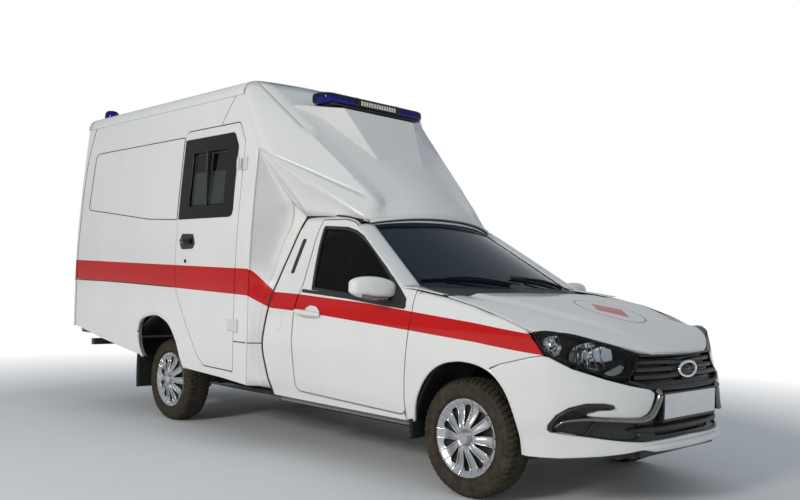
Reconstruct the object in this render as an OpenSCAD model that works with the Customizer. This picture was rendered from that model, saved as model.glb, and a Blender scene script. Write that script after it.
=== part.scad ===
// Ambulance on a compact pickup: cab, moulded medical body, running gear.
// Every position below is taken from the front axle (x forward) and the ground (z up);
// at_axle() then moves a part so that the origin is under the middle of the vehicle.

/* [Overall] */
// Distance between the axles
wheelbase = 2915; // [2400:5:3600]
// Front axle to the foremost point, the number plate's face
front_overhang = 815; // [760:5:900]
// Rear axle to the rearmost point, the rear door hinges
rear_overhang = 1445; // [1200:5:1800]

/* [Wheels] */
// Outer radius of a tyre
tyre_radius = 300; // [280:1:330]
// Width of a tyre
tyre_width = 185; // [165:1:205]
// Radius of the wheel's rim
rim_radius = 178; // [165:1:200]
// Front track, between the middles of the tyres
front_track = 1415; // [1380:5:1460]
// Rear track, between the middles of the tyres
rear_track = 1437; // [1380:5:1480]
// Radius of the stub axles
stub_radius = 20; // [14:1:26]
// Radius of the kingpins
kingpin_radius = 13; // [9:1:18]
// Distance from the middle of the front tyre in to the kingpin
kingpin_offset = 52; // [40:1:70]

/* [Cab] */
// Half width of the cab at the belt line
cab_half_width = 850; // [800:5:900]
// Height of the cab roof
cab_height = 1500; // [1440:5:1600]
// Thickness of the cab's sides and doors
cab_wall = 50; // [36:1:64]
// Thickness of the fenders and of the bumper
fender_wall = 34; // [24:1:44]
// Gap around a door
door_gap = 8; // [6:1:12]
// Extra gap behind the slanted upper door frame
frame_gap = 8; // [6:1:14]
// Thickness of the side and door windows
pane = 5; // [4:1:8]
// Depth of the window panes behind the outer skin
pane_depth = 16; // [10:1:24]
// Thickness of the windshield
windshield_pane = 6; // [5:1:10]
// Radius of the round fuel flap
flap_radius = 68; // [55:1:80]

/* [Medical body] */
// Half width of the medical body
body_half_width = 930; // [900:5:980]
// Height of the medical body's roof
body_height = 2430; // [2200:10:2700]
// Thickness of the body's walls and doors
body_wall = 45; // [30:1:60]
// Height of the body floor's top
floor_top = 600; // [570:5:640]
// Thickness of the body floor
floor_thickness = 80; // [60:5:100]
// Thickness of the fairing's shell
fairing_wall = 18; // [12:1:26]
// Gap around the body's doors
body_gap = 10; // [8:1:14]

/* [Hinges] */
// Radius of the doors' hinge barrels
barrel_radius = 8; // [6:1:10]
// Radius of the hinge pins
pin_radius = 4; // [3:0.5:5]
// Clearance of a pin or shaft in its bore
running_fit = 0.06; // [0.03:0.01:0.1]

/* [Hidden] */
$fn = 48;

axle_rear = -wheelbase;
rear_x = axle_rear - rear_overhang;
axle_x = (wheelbase + rear_overhang - front_overhang) / 2;
face_x = rear_x + 16;
touch = 0.3;
eps = 0.01;
paint = [0.93, 0.93, 0.91];
dark = [0.08, 0.08, 0.09];
steel = [0.35, 0.36, 0.38];
glass = [0.1, 0.13, 0.16];

// Half width of each section at a height: pairs of height and half width.
w = cab_half_width;
cab_skin = [[230, w - 56], [335, w - 50], [450, w - 15], [700, w], [900, w - 2], [1000, w - 20],
            [1380, w - 190], [cab_height - 60, w - 230], [cab_height - 30, w - 290],
            [cab_height - 10, w - 450]];
b = body_half_width;
roof_edge = body_height - 130;
body_skin = [[300, b - 8], [600, b], [1250, b], [1950, b - 45], [roof_edge, b - 75],
             [body_height - 70, b - 100], [body_height - 30, b - 170], [body_height, 0]];

// Plan of the front end, from the door to the nose.
nose = front_overhang;
nose_plan = [[-700, w + 5, 0], [100, w + 5, 0], [290, w - 25, 12], [400, w - 60, 22], [500, w - 105, 35],
             [620, w - 220, 50], [nose - 105, w - 350, 58], [nose - 40, w - 470, 72],
             [nose - 15, w - 650, 82], [nose - 7, 0, 90]];

// ---- helpers ----
module at_axle() { translate([axle_x, 0, 0]) children(); }
module on_side(side) {
  if (side > 0) children();
  else mirror([0, 1, 0]) children();
}
module both_sides() { for (side = [-1, 1]) on_side(side) children(); }
module block(x, y, z) {
  translate([x[0], y[0], z[0]]) cube([x[1] - x[0], y[1] - y[0], z[1] - z[0]]);
}
module prism_x(x0, x1, pts) {
  translate([x0, 0, 0]) rotate([90, 0, 90]) linear_extrude(x1 - x0) polygon(pts);
}
module prism_y(y0, y1, pts) {
  translate([0, y1, 0]) rotate([90, 0, 0]) linear_extrude(y1 - y0) polygon(pts);
}
module prism_z(z0, z1, pts) {
  translate([0, 0, z0]) linear_extrude(z1 - z0) polygon(pts);
}
module rod_y(x, z, r, y0, y1) { translate([x, y0, z]) rotate([-90, 0, 0]) cylinder(r = r, h = y1 - y0); }
module rod_z(x, y, r, z0, z1) { translate([x, y, z0]) cylinder(r = r, h = z1 - z0); }
module rod_x(y, z, r, x0, x1) { translate([x0, y, z]) rotate([0, 90, 0]) cylinder(r = r, h = x1 - x0); }
function reversed(v) = [for (i = [len(v) - 1:-1:0]) v[i]];
function clip_top(skin, z) = [for (p = skin) if (p[0] <= z) p];
function skin_at(skin, z) = lookup(z, skin);

// A wall of one thickness that follows a section, between two depths behind the skin.
module wall_band(skin, depth, thick, x0, x1) {
  outer = [for (p = skin) [p[1] - depth, p[0]]];
  inner = [for (p = skin) [p[1] - depth - thick, p[0]]];
  prism_x(x0, x1, concat(outer, reversed(inner)));
}
module filled_section(skin, x0, x1) {
  prism_x(x0, x1, concat([for (p = skin) [p[1], p[0]]], reversed([for (p = skin) [-p[1], p[0]]])));
}
// The front end's outer form, or the same form drawn in by an inset.
module nose_form(inset, z0, z1) {
  intersection() {
    prism_z(z0, z1, concat([for (p = nose_plan) [p[0] - inset * sin(p[2]), p[1] - inset * cos(p[2])]],
                           [[-700, 0]]));
    prism_x(-700, nose, concat([for (p = cab_skin) [p[1] - inset, p[0]]], [[0, cab_height], [0, 200]]));
  }
}
module nose_shell(thick, z0, z1) {
  difference() {
    nose_form(0, z0, z1);
    nose_form(thick, z0 - 1, z1 + 1);
  }
}

// ---- outlines seen from the side: x, z ----
door_top = cab_height - 55;
door_outline = [[-410, 368], [-388, 758], [-353, 916], [-354, 985], [-470, 1022], [-1042, 1372],
                [-1120, 1418], [-1203, door_top - 6], [-1353, door_top], [-1378, 1042],
                [-1386, 652], [-1351, 394]];
door_hole = [[-410 + door_gap, 368 - door_gap], [-388 + door_gap, 758], [-353 + door_gap, 916],
             [-354 + door_gap, 985 + door_gap], [-470, 1022 + door_gap * 1.3],
             [-1042, 1372 + door_gap * 1.3], [-1120, 1418 + door_gap * 1.3],
             [-1203, door_top + door_gap - 4], [-1353 - door_gap - frame_gap, door_top + door_gap],
             [-1378 - door_gap - frame_gap, 1042], [-1386 - door_gap, 920],
             [-1386 - door_gap, 652], [-1351 - door_gap, 394 - door_gap]];
door_window = [[-403, 981], [-443, 985], [-568, 1061], [-705, 1150], [-843, 1231], [-996, 1335],
               [-1080, 1378], [-1155, 1400], [-1325, 1412], [-1310, 1008]];
cab_joint = [[-1525, cab_height - 113], [-1632, 1035], [-1647, 892], [-1684, 655], [-1649, 483],
             [-1609, 337]];
cab_outline = concat([[-350, 335], [-340, 985], [-440, 1049], [-1013, cab_height - 89],
                      [-1080, cab_height - 40], [-1300, cab_height], [-1470, cab_height]], cab_joint);
pillar_depth = 75;
arch = [0, 310, 380];
fender_outline = [[-402, 335], [-402, 368], [-380, 758], [-345, 916], [-345, 985], [-440, 1049],
                  [-135, 1012], [120, 945], [371, 858], [449, 754], [380, 722], [246, 685],
                  [246, 335]];
fender_cut = [for (p = fender_outline)
  [p[0] - (p[0] < -300 ? 1 : 0) - (p[1] > 1040 ? 3 : 0), p[1] + (p[1] > 1000 ? 1 : 0)]];
bumper_outline = [[252, 682], [380, 716], [455, 750], [nose - 106, 645], [nose - 15, 612], [nose + 5, 570],
                  [nose + 5, 340], [nose - 60, 252], [340, 252], [252, 320]];

side_top = roof_edge;
arch_shape = [[-202, 200], [-202, 462], [-235, 490], [-273, 563], [-275, 690], [-205, 755], [-22, 786],
              [95, 770], [200, 722], [300, 616], [367, 492], [416, 427], [416, 200]];
arch_rear = [for (p = arch_shape) [axle_rear + p[0], p[1]]];
body_front = -1732;
roof_front = -1985;
front_slope = [[body_front, 1906], [roof_front, side_top]];
body_outline = concat([[body_front, 380], [-2008, 405], [axle_rear + 461, 424], [axle_rear - 275, 462],
                [face_x, 635], [face_x, side_top]], reversed(front_slope));
side_hinge_x = -1893;
side_door_outline = [[side_hinge_x - 12, 459], [-2258, 469], [-2330, 520], [-2477, 708], [-2600, 900],
                     [-2646, 976], [-2672, 1150], [-2672, side_top - 192], [-1990, side_top - 192],
                     [side_hinge_x - 12, side_top - 329]];
side_door_hole = [[side_hinge_x - 12 + body_gap, 459 - body_gap], [-2262, 469 - body_gap],
                  [-2340, 520 - body_gap * 0.6], [-2487, 702], [-2610, 894], [-2656, 970],
                  [-2672 - body_gap, 1150], [-2672 - body_gap, side_top - 192 + body_gap],
                  [-1985, side_top - 192 + body_gap], [side_hinge_x - 12 + body_gap, side_top - 325]];
side_window = [[-1970, 1470], [-2650, 1470], [-2650, 2050], [-2030, 2050], [-1970, 1940]];

// A half hinge: the moving leaf's barrel in the middle, the fixed leaf's barrels at its ends.
module hinge_moving(x, y, z, len) {
  difference() {
    rod_z(x, y, barrel_radius, z - len / 6 + 1, z + len / 6 - 1);
    rod_z(x, y, pin_radius + running_fit, z - len, z + len);
  }
}
module hinge_fixed(x, y, z, len) {
  rod_z(x, y, barrel_radius, z - len / 2, z - len / 6);
  rod_z(x, y, barrel_radius, z + len / 6, z + len / 2);
  rod_z(x, y, pin_radius, z - len / 6 - eps, z + len / 6 + eps);
}

// ---- running gear ----
floor_z = 300;
rail_y = 340;
rail_w = 70;
rail_low = 210;
rail_high = floor_top - floor_thickness;
module chassis_frame() {
  color(steel) at_axle() {
    both_sides() prism_y(rail_y, rail_y + rail_w,
      [[640, 250], [640, 340], [-300, 340], [-345, floor_z], [-1640, floor_z], [-1830, rail_high],
       [face_x + 90, rail_high], [face_x + 90, rail_high - 90], [-1870, rail_high - 90], [-1680, rail_low],
       [-440, rail_low], [-350, 250]]);
    for (x = [600, -520, -1560]) block([x - 30, x + 30], [-rail_y, rail_y], [255, 300]);
    for (x = [-1960, axle_rear + 355, axle_rear - 405, face_x + 130])
      block([x - 30, x + 30], [-rail_y, rail_y], [rail_high - 80, rail_high]);
    both_sides() for (x = [axle_rear + 565, face_x + 200])
      block([x - 25, x + 25], [rail_y + rail_w, 840], [rail_high - 50, rail_high]);
    both_sides() block([620, nose - 100], [rail_y + 10, rail_y + 60], [265, 325]);
    block([nose - 100, nose - 72], [-366, 366], [270, 325]);
  }
}
king_y = front_track / 2 - kingpin_offset;
strut_y = king_y - 155;
module front_suspension() {
  color(steel) at_axle() {
    both_sides() {
      difference() {
        union() {
          prism_z(170, 195, [[-60, rail_y + 20], [-60, rail_y + rail_w], [-22, king_y], [22, king_y],
                             [140, rail_y + rail_w], [140, rail_y + 20]]);
          rod_z(0, king_y, 24, 170, 195);
          rod_z(0, king_y, 24, 430, 455);
          block([-20, 20], [rail_y + rail_w, king_y], [435, 455]);
          rod_z(0, strut_y, 16, 455, 700);
        }
        rod_z(0, king_y, kingpin_radius + running_fit, 160, 454);
      }
      block([-60, -20], [rail_y + 10, rail_y + 60], [195, 250]);
      block([100, 140], [rail_y + 10, rail_y + 60], [195, 250]);
      block([-20, 20], [rail_y + 20, rail_y + rail_w], [340, 455]);
    }
    rod_y(-180, 295, 18, -rail_y, rail_y);
  }
}
module knuckle(side) {
  color(steel) at_axle() on_side(side) {
    rod_z(0, king_y, kingpin_radius, 162, 452);
    block([-30, 30], [king_y - 20, king_y + 20], [197, 428]);
    rod_y(0, tyre_radius, 40, king_y + 18, king_y + 34);
    rod_y(0, tyre_radius, stub_radius, king_y + 30, front_track / 2 + 45);
  }
}
module rear_axle() {
  color(steel) at_axle() {
    rod_y(axle_rear, tyre_radius, 42, -rear_track / 2 + 80, rear_track / 2 - 80);
    both_sides() rod_y(axle_rear, tyre_radius, stub_radius, rear_track / 2 - 90, rear_track / 2 + 45);
    both_sides() rod_y(axle_rear, tyre_radius, 60, rear_track / 2 - 84, rear_track / 2 - 54);
    both_sides() block([axle_rear - 60, axle_rear + 60], [rail_y + 10, rail_y + 60],
                       [tyre_radius - 50, rail_high - 90]);
    both_sides() prism_y(rail_y + 10, rail_y + 60, concat(leaf_spring(0), reversed(leaf_spring(28))));
  }
}
// One face of the leaf spring: its thickness is taken up from the lower face.
function leaf_spring(up) = [[axle_rear - 560 + up, rail_high - 90 - (up > 0 ? 0 : 30)],
  [axle_rear - 60, tyre_radius + 44 + up], [axle_rear + 60, tyre_radius + 44 + up],
  [axle_rear + 540 - up, rail_high - 90 - (up > 0 ? 0 : 30)]];
module wheel(x, track, side) {
  edge = tyre_width / 2 - 12;
  disc_z = 34;
  color("silver") at_axle() on_side(side) translate([x, track / 2, tyre_radius]) rotate([-90, 0, 0]) {
    difference() {
      union() {
        rotate_extrude() polygon([[rim_radius - 14, -edge], [rim_radius + 8, -edge], [rim_radius, -edge + 12],
          [rim_radius, edge - 12], [rim_radius + 8, edge], [rim_radius - 14, edge]]);
        translate([0, 0, disc_z]) cylinder(r = rim_radius - 10, h = 14);
        translate([0, 0, -18]) cylinder(r = 55, h = disc_z + 22);
      }
      translate([0, 0, -60]) cylinder(r = stub_radius + running_fit, h = 106);
      for (i = [0:9]) rotate([0, 0, 36 * i]) translate([rim_radius * 0.66, 0, disc_z - 4])
        cylinder(r = 22, h = 30);
    }
  }
}
module tyre(x, track, side) {
  r0 = rim_radius;
  r1 = tyre_radius;
  h = tyre_width / 2;
  color(dark) at_axle() on_side(side) translate([x, track / 2, tyre_radius]) rotate([-90, 0, 0])
    rotate_extrude($fn = 96) polygon([[r0, -h + 24], [r0 + 8, -h + 12], [r0 + 40, -h + 2], [r0 + 62, -h],
      [r1 - 22, -h + 6], [r1 - 5, -h + 22], [r1, -h + 45], [r1, h - 45], [r1 - 5, h - 22], [r1 - 22, h - 6],
      [r0 + 62, h], [r0 + 40, h - 2], [r0 + 8, h - 12], [r0, h - 24]]);
}
engine_low = 302;
module engine_block() {
  color(steel) at_axle() {
    block([-120, 430], [-290, 250], [engine_low, 690]);
    block([100, 160], [-rail_y + touch, rail_y - touch], [engine_low, 335]);
  }
}
module fuel_tank() {
  color(dark) at_axle() block([-2300, -1950], [430, 760], [215, 500]);
  color(dark) at_axle() block([-2250, -2050], [rail_y + rail_w, 431], [rail_high - 80, rail_high - 30]);
}
exhaust_z = 225;
muffler_x = axle_rear - 385;
module exhaust() {
  color("dimgray") at_axle() {
    rod_x(-250, exhaust_z, 26, muffler_x - 460, -60);
    rod_z(-86, -250, 26, exhaust_z, engine_low - touch);
    rod_x(-250, exhaust_z, 70, muffler_x - 460, muffler_x);
    rod_x(-250, exhaust_z, 28, face_x + 60, muffler_x - 460);
    block([muffler_x - 260, muffler_x - 230], [-265, -235], [exhaust_z + 60, rail_high]);
    block([face_x + 118, face_x + 142], [-262, -238], [exhaust_z + 20, rail_high - 80 - touch]);
  }
}

// ---- cab ----
cab_inner = w - cab_wall;
rear_wall_x = -1600;
firewall_x = -352;
cab_floor_top = floor_z + 35;
cowl_z = 985;
module cab_floor() {
  half = cab_inner - 50;
  color(paint) at_axle() block([rear_wall_x, firewall_x], [-half, half], [floor_z, cab_floor_top]);
}
module firewall() {
  color(paint) at_axle() {
    prism_y(-cab_inner + 52, cab_inner - 52, [[firewall_x - 28, cab_floor_top], [firewall_x, cab_floor_top],
      [firewall_x, 905], [-205, 960], [-205, cowl_z], [-425, cowl_z], [-425, 960], [firewall_x - 28, 905]]);
    both_sides() {
      for (y = [505, 545]) block([-215, hood_pin[0] + 6], [y, y + 10], [cowl_z - 5, hood_pin[1] + 6]);
      rod_y(hood_pin[0], hood_pin[1], pin_radius, 506, 554);
    }
  }
}
module dashboard() {
  color(dark) at_axle() difference() {
    prism_y(-cab_inner + 60, cab_inner - 60,
      [[-425 - touch, cowl_z], [-690, 960], [-760, 900], [-740, 800], [-660, 700], [-480, 640],
       [-380 - touch, 640], [-380 - touch, 900], [-425 - touch, 950]]);
    on_column() cylinder(r = column_radius + touch, h = 190);
  }
}
module cab_side(side) {
  color(paint) at_axle() on_side(side) difference() {
    intersection() {
      prism_y(0, w + 20, cab_outline);
      union() {
        wall_band(cab_skin, 0, cab_wall, -1700, -300);
        intersection() {
          wall_band(cab_skin, 0, cab_wall + pillar_depth, -1035, -430);
          prism_y(0, w, [[-430, 1000], [-430, 1060], [-1035, 1450], [-1035, 1000]]);
        }
      }
    }
    prism_y(0, w + 20, door_hole);
    if (side < 0) rod_y(flap_x, flap_z, flap_radius + 5, w - 14, w + 20);
    cutter_roof();
    intersection() {
      prism_y(0, w + 20, fender_cut);
      wall_band(cab_skin, -30, fender_wall + 30 + touch, -700, 200);
    }
  }
  if (side < 0) color(paint) at_axle() on_side(side)
    rod_y(flap_x, flap_z, 24, w - 14 - eps, w - 8);
  color(paint) at_axle() on_side(side) for (z = door_hinges) {
    hinge_fixed(cab_hinge_x, cab_hinge_y, z, 66);
    cab_hinge_root(z);
  }
}
roof_y = w - cab_wall - 242;
module cutter_roof() { block([-1560, -1020], [0, roof_y], [cab_height - 200, cab_height + 50]); }
module cab_roof() {
  skin = [[cab_height - 64, roof_y - touch], [cab_height - 29, roof_y - touch],
          [cab_height - 10, w - 450], [cab_height, 0]];
  lining = concat([[0, roof_y * 0.93]], [for (p = skin) [p[0] - 30, p[1] * 0.93]]);
  color(paint) at_axle() difference() {
    intersection() {
      filled_section(skin, -1560, -1000);
      prism_y(-w, w, [[-1040, cab_height - 100], [-1030, cab_height - 78], [-1090, cab_height - 18],
                      [-1260, cab_height + 1], [-1490, cab_height + 1], [-1520, cab_height - 100]]);
    }
    filled_section(lining, -1530, -1075);
  }
}
module cab_rear_wall() {
  section = [for (p = cab_skin) if (p[0] > 400 && p[0] < 1400) [p[0], p[1] - cab_wall - 30]];
  color(paint) at_axle() {
    difference() {
      filled_section(section, rear_wall_x + touch, rear_wall_x + 40);
      block([rear_wall_x - 10, rear_wall_x + 50], [-320, 320], [1080, 1330]);
    }
    block([rear_wall_x + touch, rear_wall_x + 40], [-cab_inner + 80, cab_inner - 80],
          [cab_floor_top, section[0][0] + eps]);
  }
}
module seats() {
  color([0.18, 0.18, 0.2]) at_axle() for (y = [-370, 370]) {
    prism_y(y - 240, y + 240, [[-800, 560], [-790, 640], [-1290, 610], [-1440, 1190], [-1530, 1180],
                               [-1400, 520], [-820, 500]]);
    block([-1300, -900], [y - 200, y + 200], [cab_floor_top, 512]);
    prism_y(y - 130, y + 130, [[-1430, 1192], [-1450, 1360], [-1515, 1360], [-1530, 1182]]);
  }
}
// The steering column's axis runs forward and down from the middle of the steering wheel.
wheel_tilt = 116;
column_radius = 30;
shaft_radius = 10;
wheel_ring = 175;
module on_column() { translate([-835, 370, 960]) rotate([0, wheel_tilt, 0]) children(); }
module steering_column() {
  color(dark) at_axle() on_column() {
    translate([0, 0, 14]) cylinder(r = column_radius, h = 170);
    cylinder(r = shaft_radius, h = 60);
  }
}
module steering_wheel() {
  color(dark) at_axle() on_column() difference() {
    union() {
      translate([0, 0, -14]) rotate_extrude() translate([wheel_ring, 0]) circle(r = 14, $fn = 24);
      translate([0, 0, -24]) cylinder(r = 60, h = 36);
      for (a = [0, 120, 240]) rotate([0, 0, a]) translate([40, -18, -20]) cube([128, 36, 12]);
    }
    translate([0, 0, -1]) cylinder(r = shaft_radius + running_fit, h = 30);
  }
}
ws_low = [-440, 1049];
ws_high = [-1013, 1411];
ws_radius = 2600;
module windshield_form(depth) {
  // A pane curved about an axis in its own plane, cut to the shape of the opening.
  len = norm(ws_high - ws_low);
  lean = atan2(ws_high[1] - ws_low[1], ws_low[0] - ws_high[0]);
  half_low = skin_at(cab_skin, ws_low[1]) - cab_wall - pillar_depth - touch;
  half_high = skin_at(cab_skin, ws_high[1]) - cab_wall - pillar_depth - touch;
  sag = ws_radius - sqrt(ws_radius * ws_radius - half_low * half_low);
  translate([ws_low[0], 0, ws_low[1]]) rotate([0, lean - 90, 0]) intersection() {
    translate([sag - ws_radius, 0, -20]) difference() {
      cylinder(r = ws_radius, h = len + 20, $fn = 200);
      translate([0, 0, -1]) cylinder(r = ws_radius - depth, h = len + 40, $fn = 200);
    }
    rotate([90, 0, 90]) translate([0, 0, -100]) linear_extrude(400)
      polygon([[-half_low, 0], [half_low, 0], [half_high, len - 28], [-half_high, len - 28]]);
  }
}
module windshield() { color(glass) at_axle() windshield_form(windshield_pane); }
module fender(side) {
  color(paint) at_axle() on_side(side) difference() {
    intersection() {
      nose_shell(fender_wall, 300, cab_height);
      prism_y(0, w + 30, fender_outline);
    }
    rod_y(arch[0], arch[1], arch[2], 500, w + 40);
    for (z = door_hinges) block([cab_hinge_x - 20, cab_hinge_x + 24], [w - 70, w + 20], [z - 40, z + 40]);
  }
}
module front_bumper() {
  color(paint) at_axle() difference() {
    both_sides() intersection() {
      nose_shell(fender_wall, 240, 800);
      prism_y(-1, w + 30, bumper_outline);
    }
    both_sides() rod_y(arch[0], arch[1], arch[2], 500, w + 40);
    block([nose - 200, nose + 60], [-330, 330], [360, 900]);
    both_sides() prism_x(400, nose + 60, [[420, 380], [480, 500], [640, 500], [700, 440], [660, 380]]);
    block([200, nose + 60], [-480, 480], [640, 900]);
  }
}
module grille() {
  color(dark) at_axle() {
    block([nose - 68, nose - 50], [-329.7, 329.7], [362, 600]);
    block([nose - 100, nose - 60], [-329.7, 329.7], [600, 645]);
    for (z = [655, 690, 725]) block([nose - 90, nose - 66], [-360, 360], [z - 8, z + 8]);
    block([nose - 100, nose - 88], [-415, 415], [645, 740]);
  }
}
module headlights() {
  color([0.3, 0.32, 0.35]) at_axle() both_sides() intersection() {
    nose_shell(60, 600, 900);
    prism_x(200, nose + 40, [[w, 870], [w - 90, 846], [418, 758], [418, 600], [w, 600]]);
    prism_y(0, w, [[371 + 2 * touch, 858], [449 + 2 * touch, 754], [nose - 104, 650], [nose, 618], [nose, 900],
                   [372, 900]]);
  }
}
module number_plates() {
  color("white") at_axle() {
    block([nose - 10, nose], [-260, 260], [455, 567]);
    block([nose - 50 + touch, nose - 10], [-200, 200], [470, 552]);
    block([face_x - 14, face_x - touch], [-260, 260], [520, 628]);
  }
}
// The hood: a crowned panel between the fenders, from the windshield to the grille.
hood_back = -138;
hood_thick = 22;
hood_top = [[hood_back, 1022], [60, 1000], [250, 962], [450, 905], [600, 850], [690, 805]];
hood_edge = [[hood_back, w - fender_wall - 36], [120, w - fender_wall - 26], [290, w - fender_wall - 46],
             [380, w - fender_wall - 72], [470, w - 190], [600, w - 310], [700, w - 410],
             [nose - 66, w - 520]];
hood_pin = [hood_back - 14, 1010];
module hood() {
  color(paint) at_axle() intersection() {
    prism_y(-w, w, concat([[nose - 66, 757]], reversed(hood_top),
                          [for (p = hood_top) [p[0], p[1] - hood_thick]], [[nose - 90, 750]]));
    prism_z(600, 1100, concat(hood_edge, reversed([for (p = hood_edge) [p[0], -p[1]]])));
  }
  color(paint) at_axle() both_sides() difference() {
    union() {
      rod_y(hood_pin[0], hood_pin[1], barrel_radius, 520, 540);
      block([hood_pin[0], hood_back + 6], [520, 540], [hood_pin[1] - 5, hood_pin[1] + 5]);
    }
    rod_y(hood_pin[0], hood_pin[1], pin_radius + running_fit, 500, 560);
  }
}

// ---- cab doors ----
cab_hinge_x = -349;
cab_hinge_y = w + 6;
door_hinges = [880, 560];
module cab_hinge_root(z) {
  y = skin_at(cab_skin, z);
  for (s = [-1, 1]) translate([0, 0, s * 22])
    block([cab_hinge_x, cab_hinge_x + 20], [y - cab_wall, cab_hinge_y], [z - 6, z + 6]);
}
module cab_door(side) {
  color(paint) at_axle() on_side(side) {
    difference() {
      intersection() {
        prism_y(0, w + 20, door_outline);
        wall_band(cab_skin, 0, cab_wall, -1500, -300);
      }
      prism_y(0, w + 20, door_window);
      for (z = door_hinges) rod_z(cab_hinge_x, cab_hinge_y, barrel_radius + 6, z - 45, z + 45);
    }
    for (z = door_hinges) {
      block([cab_hinge_x - 90, cab_hinge_x - 62], [skin_at(cab_skin, z) - 3, w + 8], [z - 9, z + 9]);
      hinge_moving(cab_hinge_x, cab_hinge_y, z, 66);
      difference() {
        block([cab_hinge_x - 90, cab_hinge_x - 2], [w + 2, w + 8], [z - 9, z + 9]);
        rod_z(cab_hinge_x, cab_hinge_y, pin_radius + 2, z - 40, z + 40);
      }
    }
    block([-540, -480], [w - 24, w + 40], [950, 976]);
    block([-600, -480], [w + 20, w + 205], [970, 1105]);
    block([-1330, -1130], [w - 2, w + 28], [866, 884]);
  }
}
module door_glass(side) {
  color(glass) at_axle() on_side(side) intersection() {
    prism_y(0, w + 20, door_window);
    wall_band(cab_skin, pane_depth, pane, -1500, -300);
  }
}
flap_x = -1545;
flap_z = 815;
module fuel_flap() {
  color(paint) at_axle() on_side(-1) {
    rod_y(flap_x, flap_z, flap_radius, w - 8 + touch, w + 1);
    rod_z(flap_x + flap_radius - 8, w + 2, 3, flap_z - 20, flap_z + 20);
  }
}

// ---- medical body ----
well_radius = tyre_radius + 172;
well_y = rear_track / 2 - tyre_width / 2 - 50;
well_sheet = 15;
module body_floor() {
  inner_floor = b - body_wall - 7;
  color([0.6, 0.6, 0.58]) at_axle() {
    difference() {
      union() {
        block([face_x + body_wall + touch, body_front - 60], [-inner_floor, inner_floor],
              [rail_high, floor_top]);
        both_sides()
          rod_y(axle_rear, tyre_radius, well_radius + well_sheet, well_y - well_sheet, inner_floor);
      }
      both_sides() rod_y(axle_rear, tyre_radius, well_radius, well_y, inner_floor + 10);
      block([face_x, body_front], [-b, b], [-well_radius, rail_high]);
    }
  }
}
module body_side(side) {
  color(paint) at_axle() on_side(side) {
    difference() {
      intersection() {
        prism_y(0, b + 20, body_outline);
        wall_band(clip_top(body_skin, roof_edge), 0, body_wall, face_x, body_front + 10);
      }
      prism_y(0, b + 20, arch_rear);
      if (side < 0) prism_y(0, b + 20, side_door_hole);
    }
    if (side < 0) for (z = side_hinges) {
      hinge_fixed(side_hinge_x, side_hinge_y, z, 84);
      for (s = [-28, 28]) block([side_hinge_x, side_hinge_x + 46],
        [skin_at(body_skin, z + s) - 6, side_hinge_y + barrel_radius], [z + s - 13, z + s + 13]);
    }
  }
}
side_hinge_y = b + 9;
side_hinges = [1820, 760];
module side_door() {
  color(paint) at_axle() on_side(-1) {
    difference() {
      intersection() {
        prism_y(0, b + 20, side_door_outline);
        wall_band(body_skin, 0, body_wall, -2700, -1800);
      }
      prism_y(0, b + 20, side_window);
    }
    for (z = side_hinges) {
      hinge_moving(side_hinge_x, side_hinge_y, z, 84);
      difference() {
        block([side_hinge_x - 60, side_hinge_x - 2],
              [skin_at(body_skin, z) - 6, side_hinge_y + barrel_radius], [z - 12, z + 12]);
        rod_z(side_hinge_x, side_hinge_y, pin_radius + 2, z - 40, z + 40);
      }
    }
    block([-2590, -2400], [b - 20, b + 14], [1260, 1365]);
  }
}
module side_door_glass() {
  color(glass) at_axle() on_side(-1) intersection() {
    prism_y(0, b + 20, side_window);
    wall_band(body_skin, 10, pane, -2700, -1800);
  }
}
module body_roof() {
  t = body_wall;
  outer = [for (p = body_skin) if (p[0] >= roof_edge) [p[1], p[0]]];
  inner = [[b - 75 - t, roof_edge], [b - 100 - t, body_height - 70 - t * 0.5],
           [b - 180 - t, body_height - 30 - t], [0, body_height - t]];
  color(paint) at_axle() both_sides()
    prism_x(face_x, roof_front, concat(outer, reversed(inner)));
}
// The fairing over the cab: a shell from the body's front to the windshield's top.
tip = [-1015, 557, 1428];
lip = [-905, 0, 1492];
slope_back = [[body_front + touch, 1400], [body_front + touch, 1906], [roof_front + touch, side_top],
              [roof_front + touch, body_height + 50], [roof_front - 400, body_height + 50],
              [roof_front - 400, 1400]];
function fairing_points(k) = [
  [body_front, b - 43 - k, 1906],
  [roof_front, b - 75 - k, side_top],
  [roof_front, b - 115 - k, body_height - 50 - k],
  [roof_front, 0, body_height - 2 - k],
  [-1035 - 1.6 * k, 500 - k, 1610],
  [tip[0] - 1.6 * k, tip[1] - k, tip[2]],
  [lip[0] - 1.6 * k, 0, lip[2]],
  [body_front, b - 43 - k, 1899],
  [-1620, tip[1] + 40 - k, 1500],
  [-1620, 0, 1500]
];
module hull_of(pts) { hull() polyhedron(points = pts, faces = [[for (i = [0:len(pts) - 1]) i]]); }
module fairing_half(k) {
  drop = k > 0 ? 2 : 0;
  hull_of([for (p = fairing_points(k)) [p[0] - drop, p[1] - (p[1] == 0 ? eps : 0), p[2] - drop]]);
}
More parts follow.
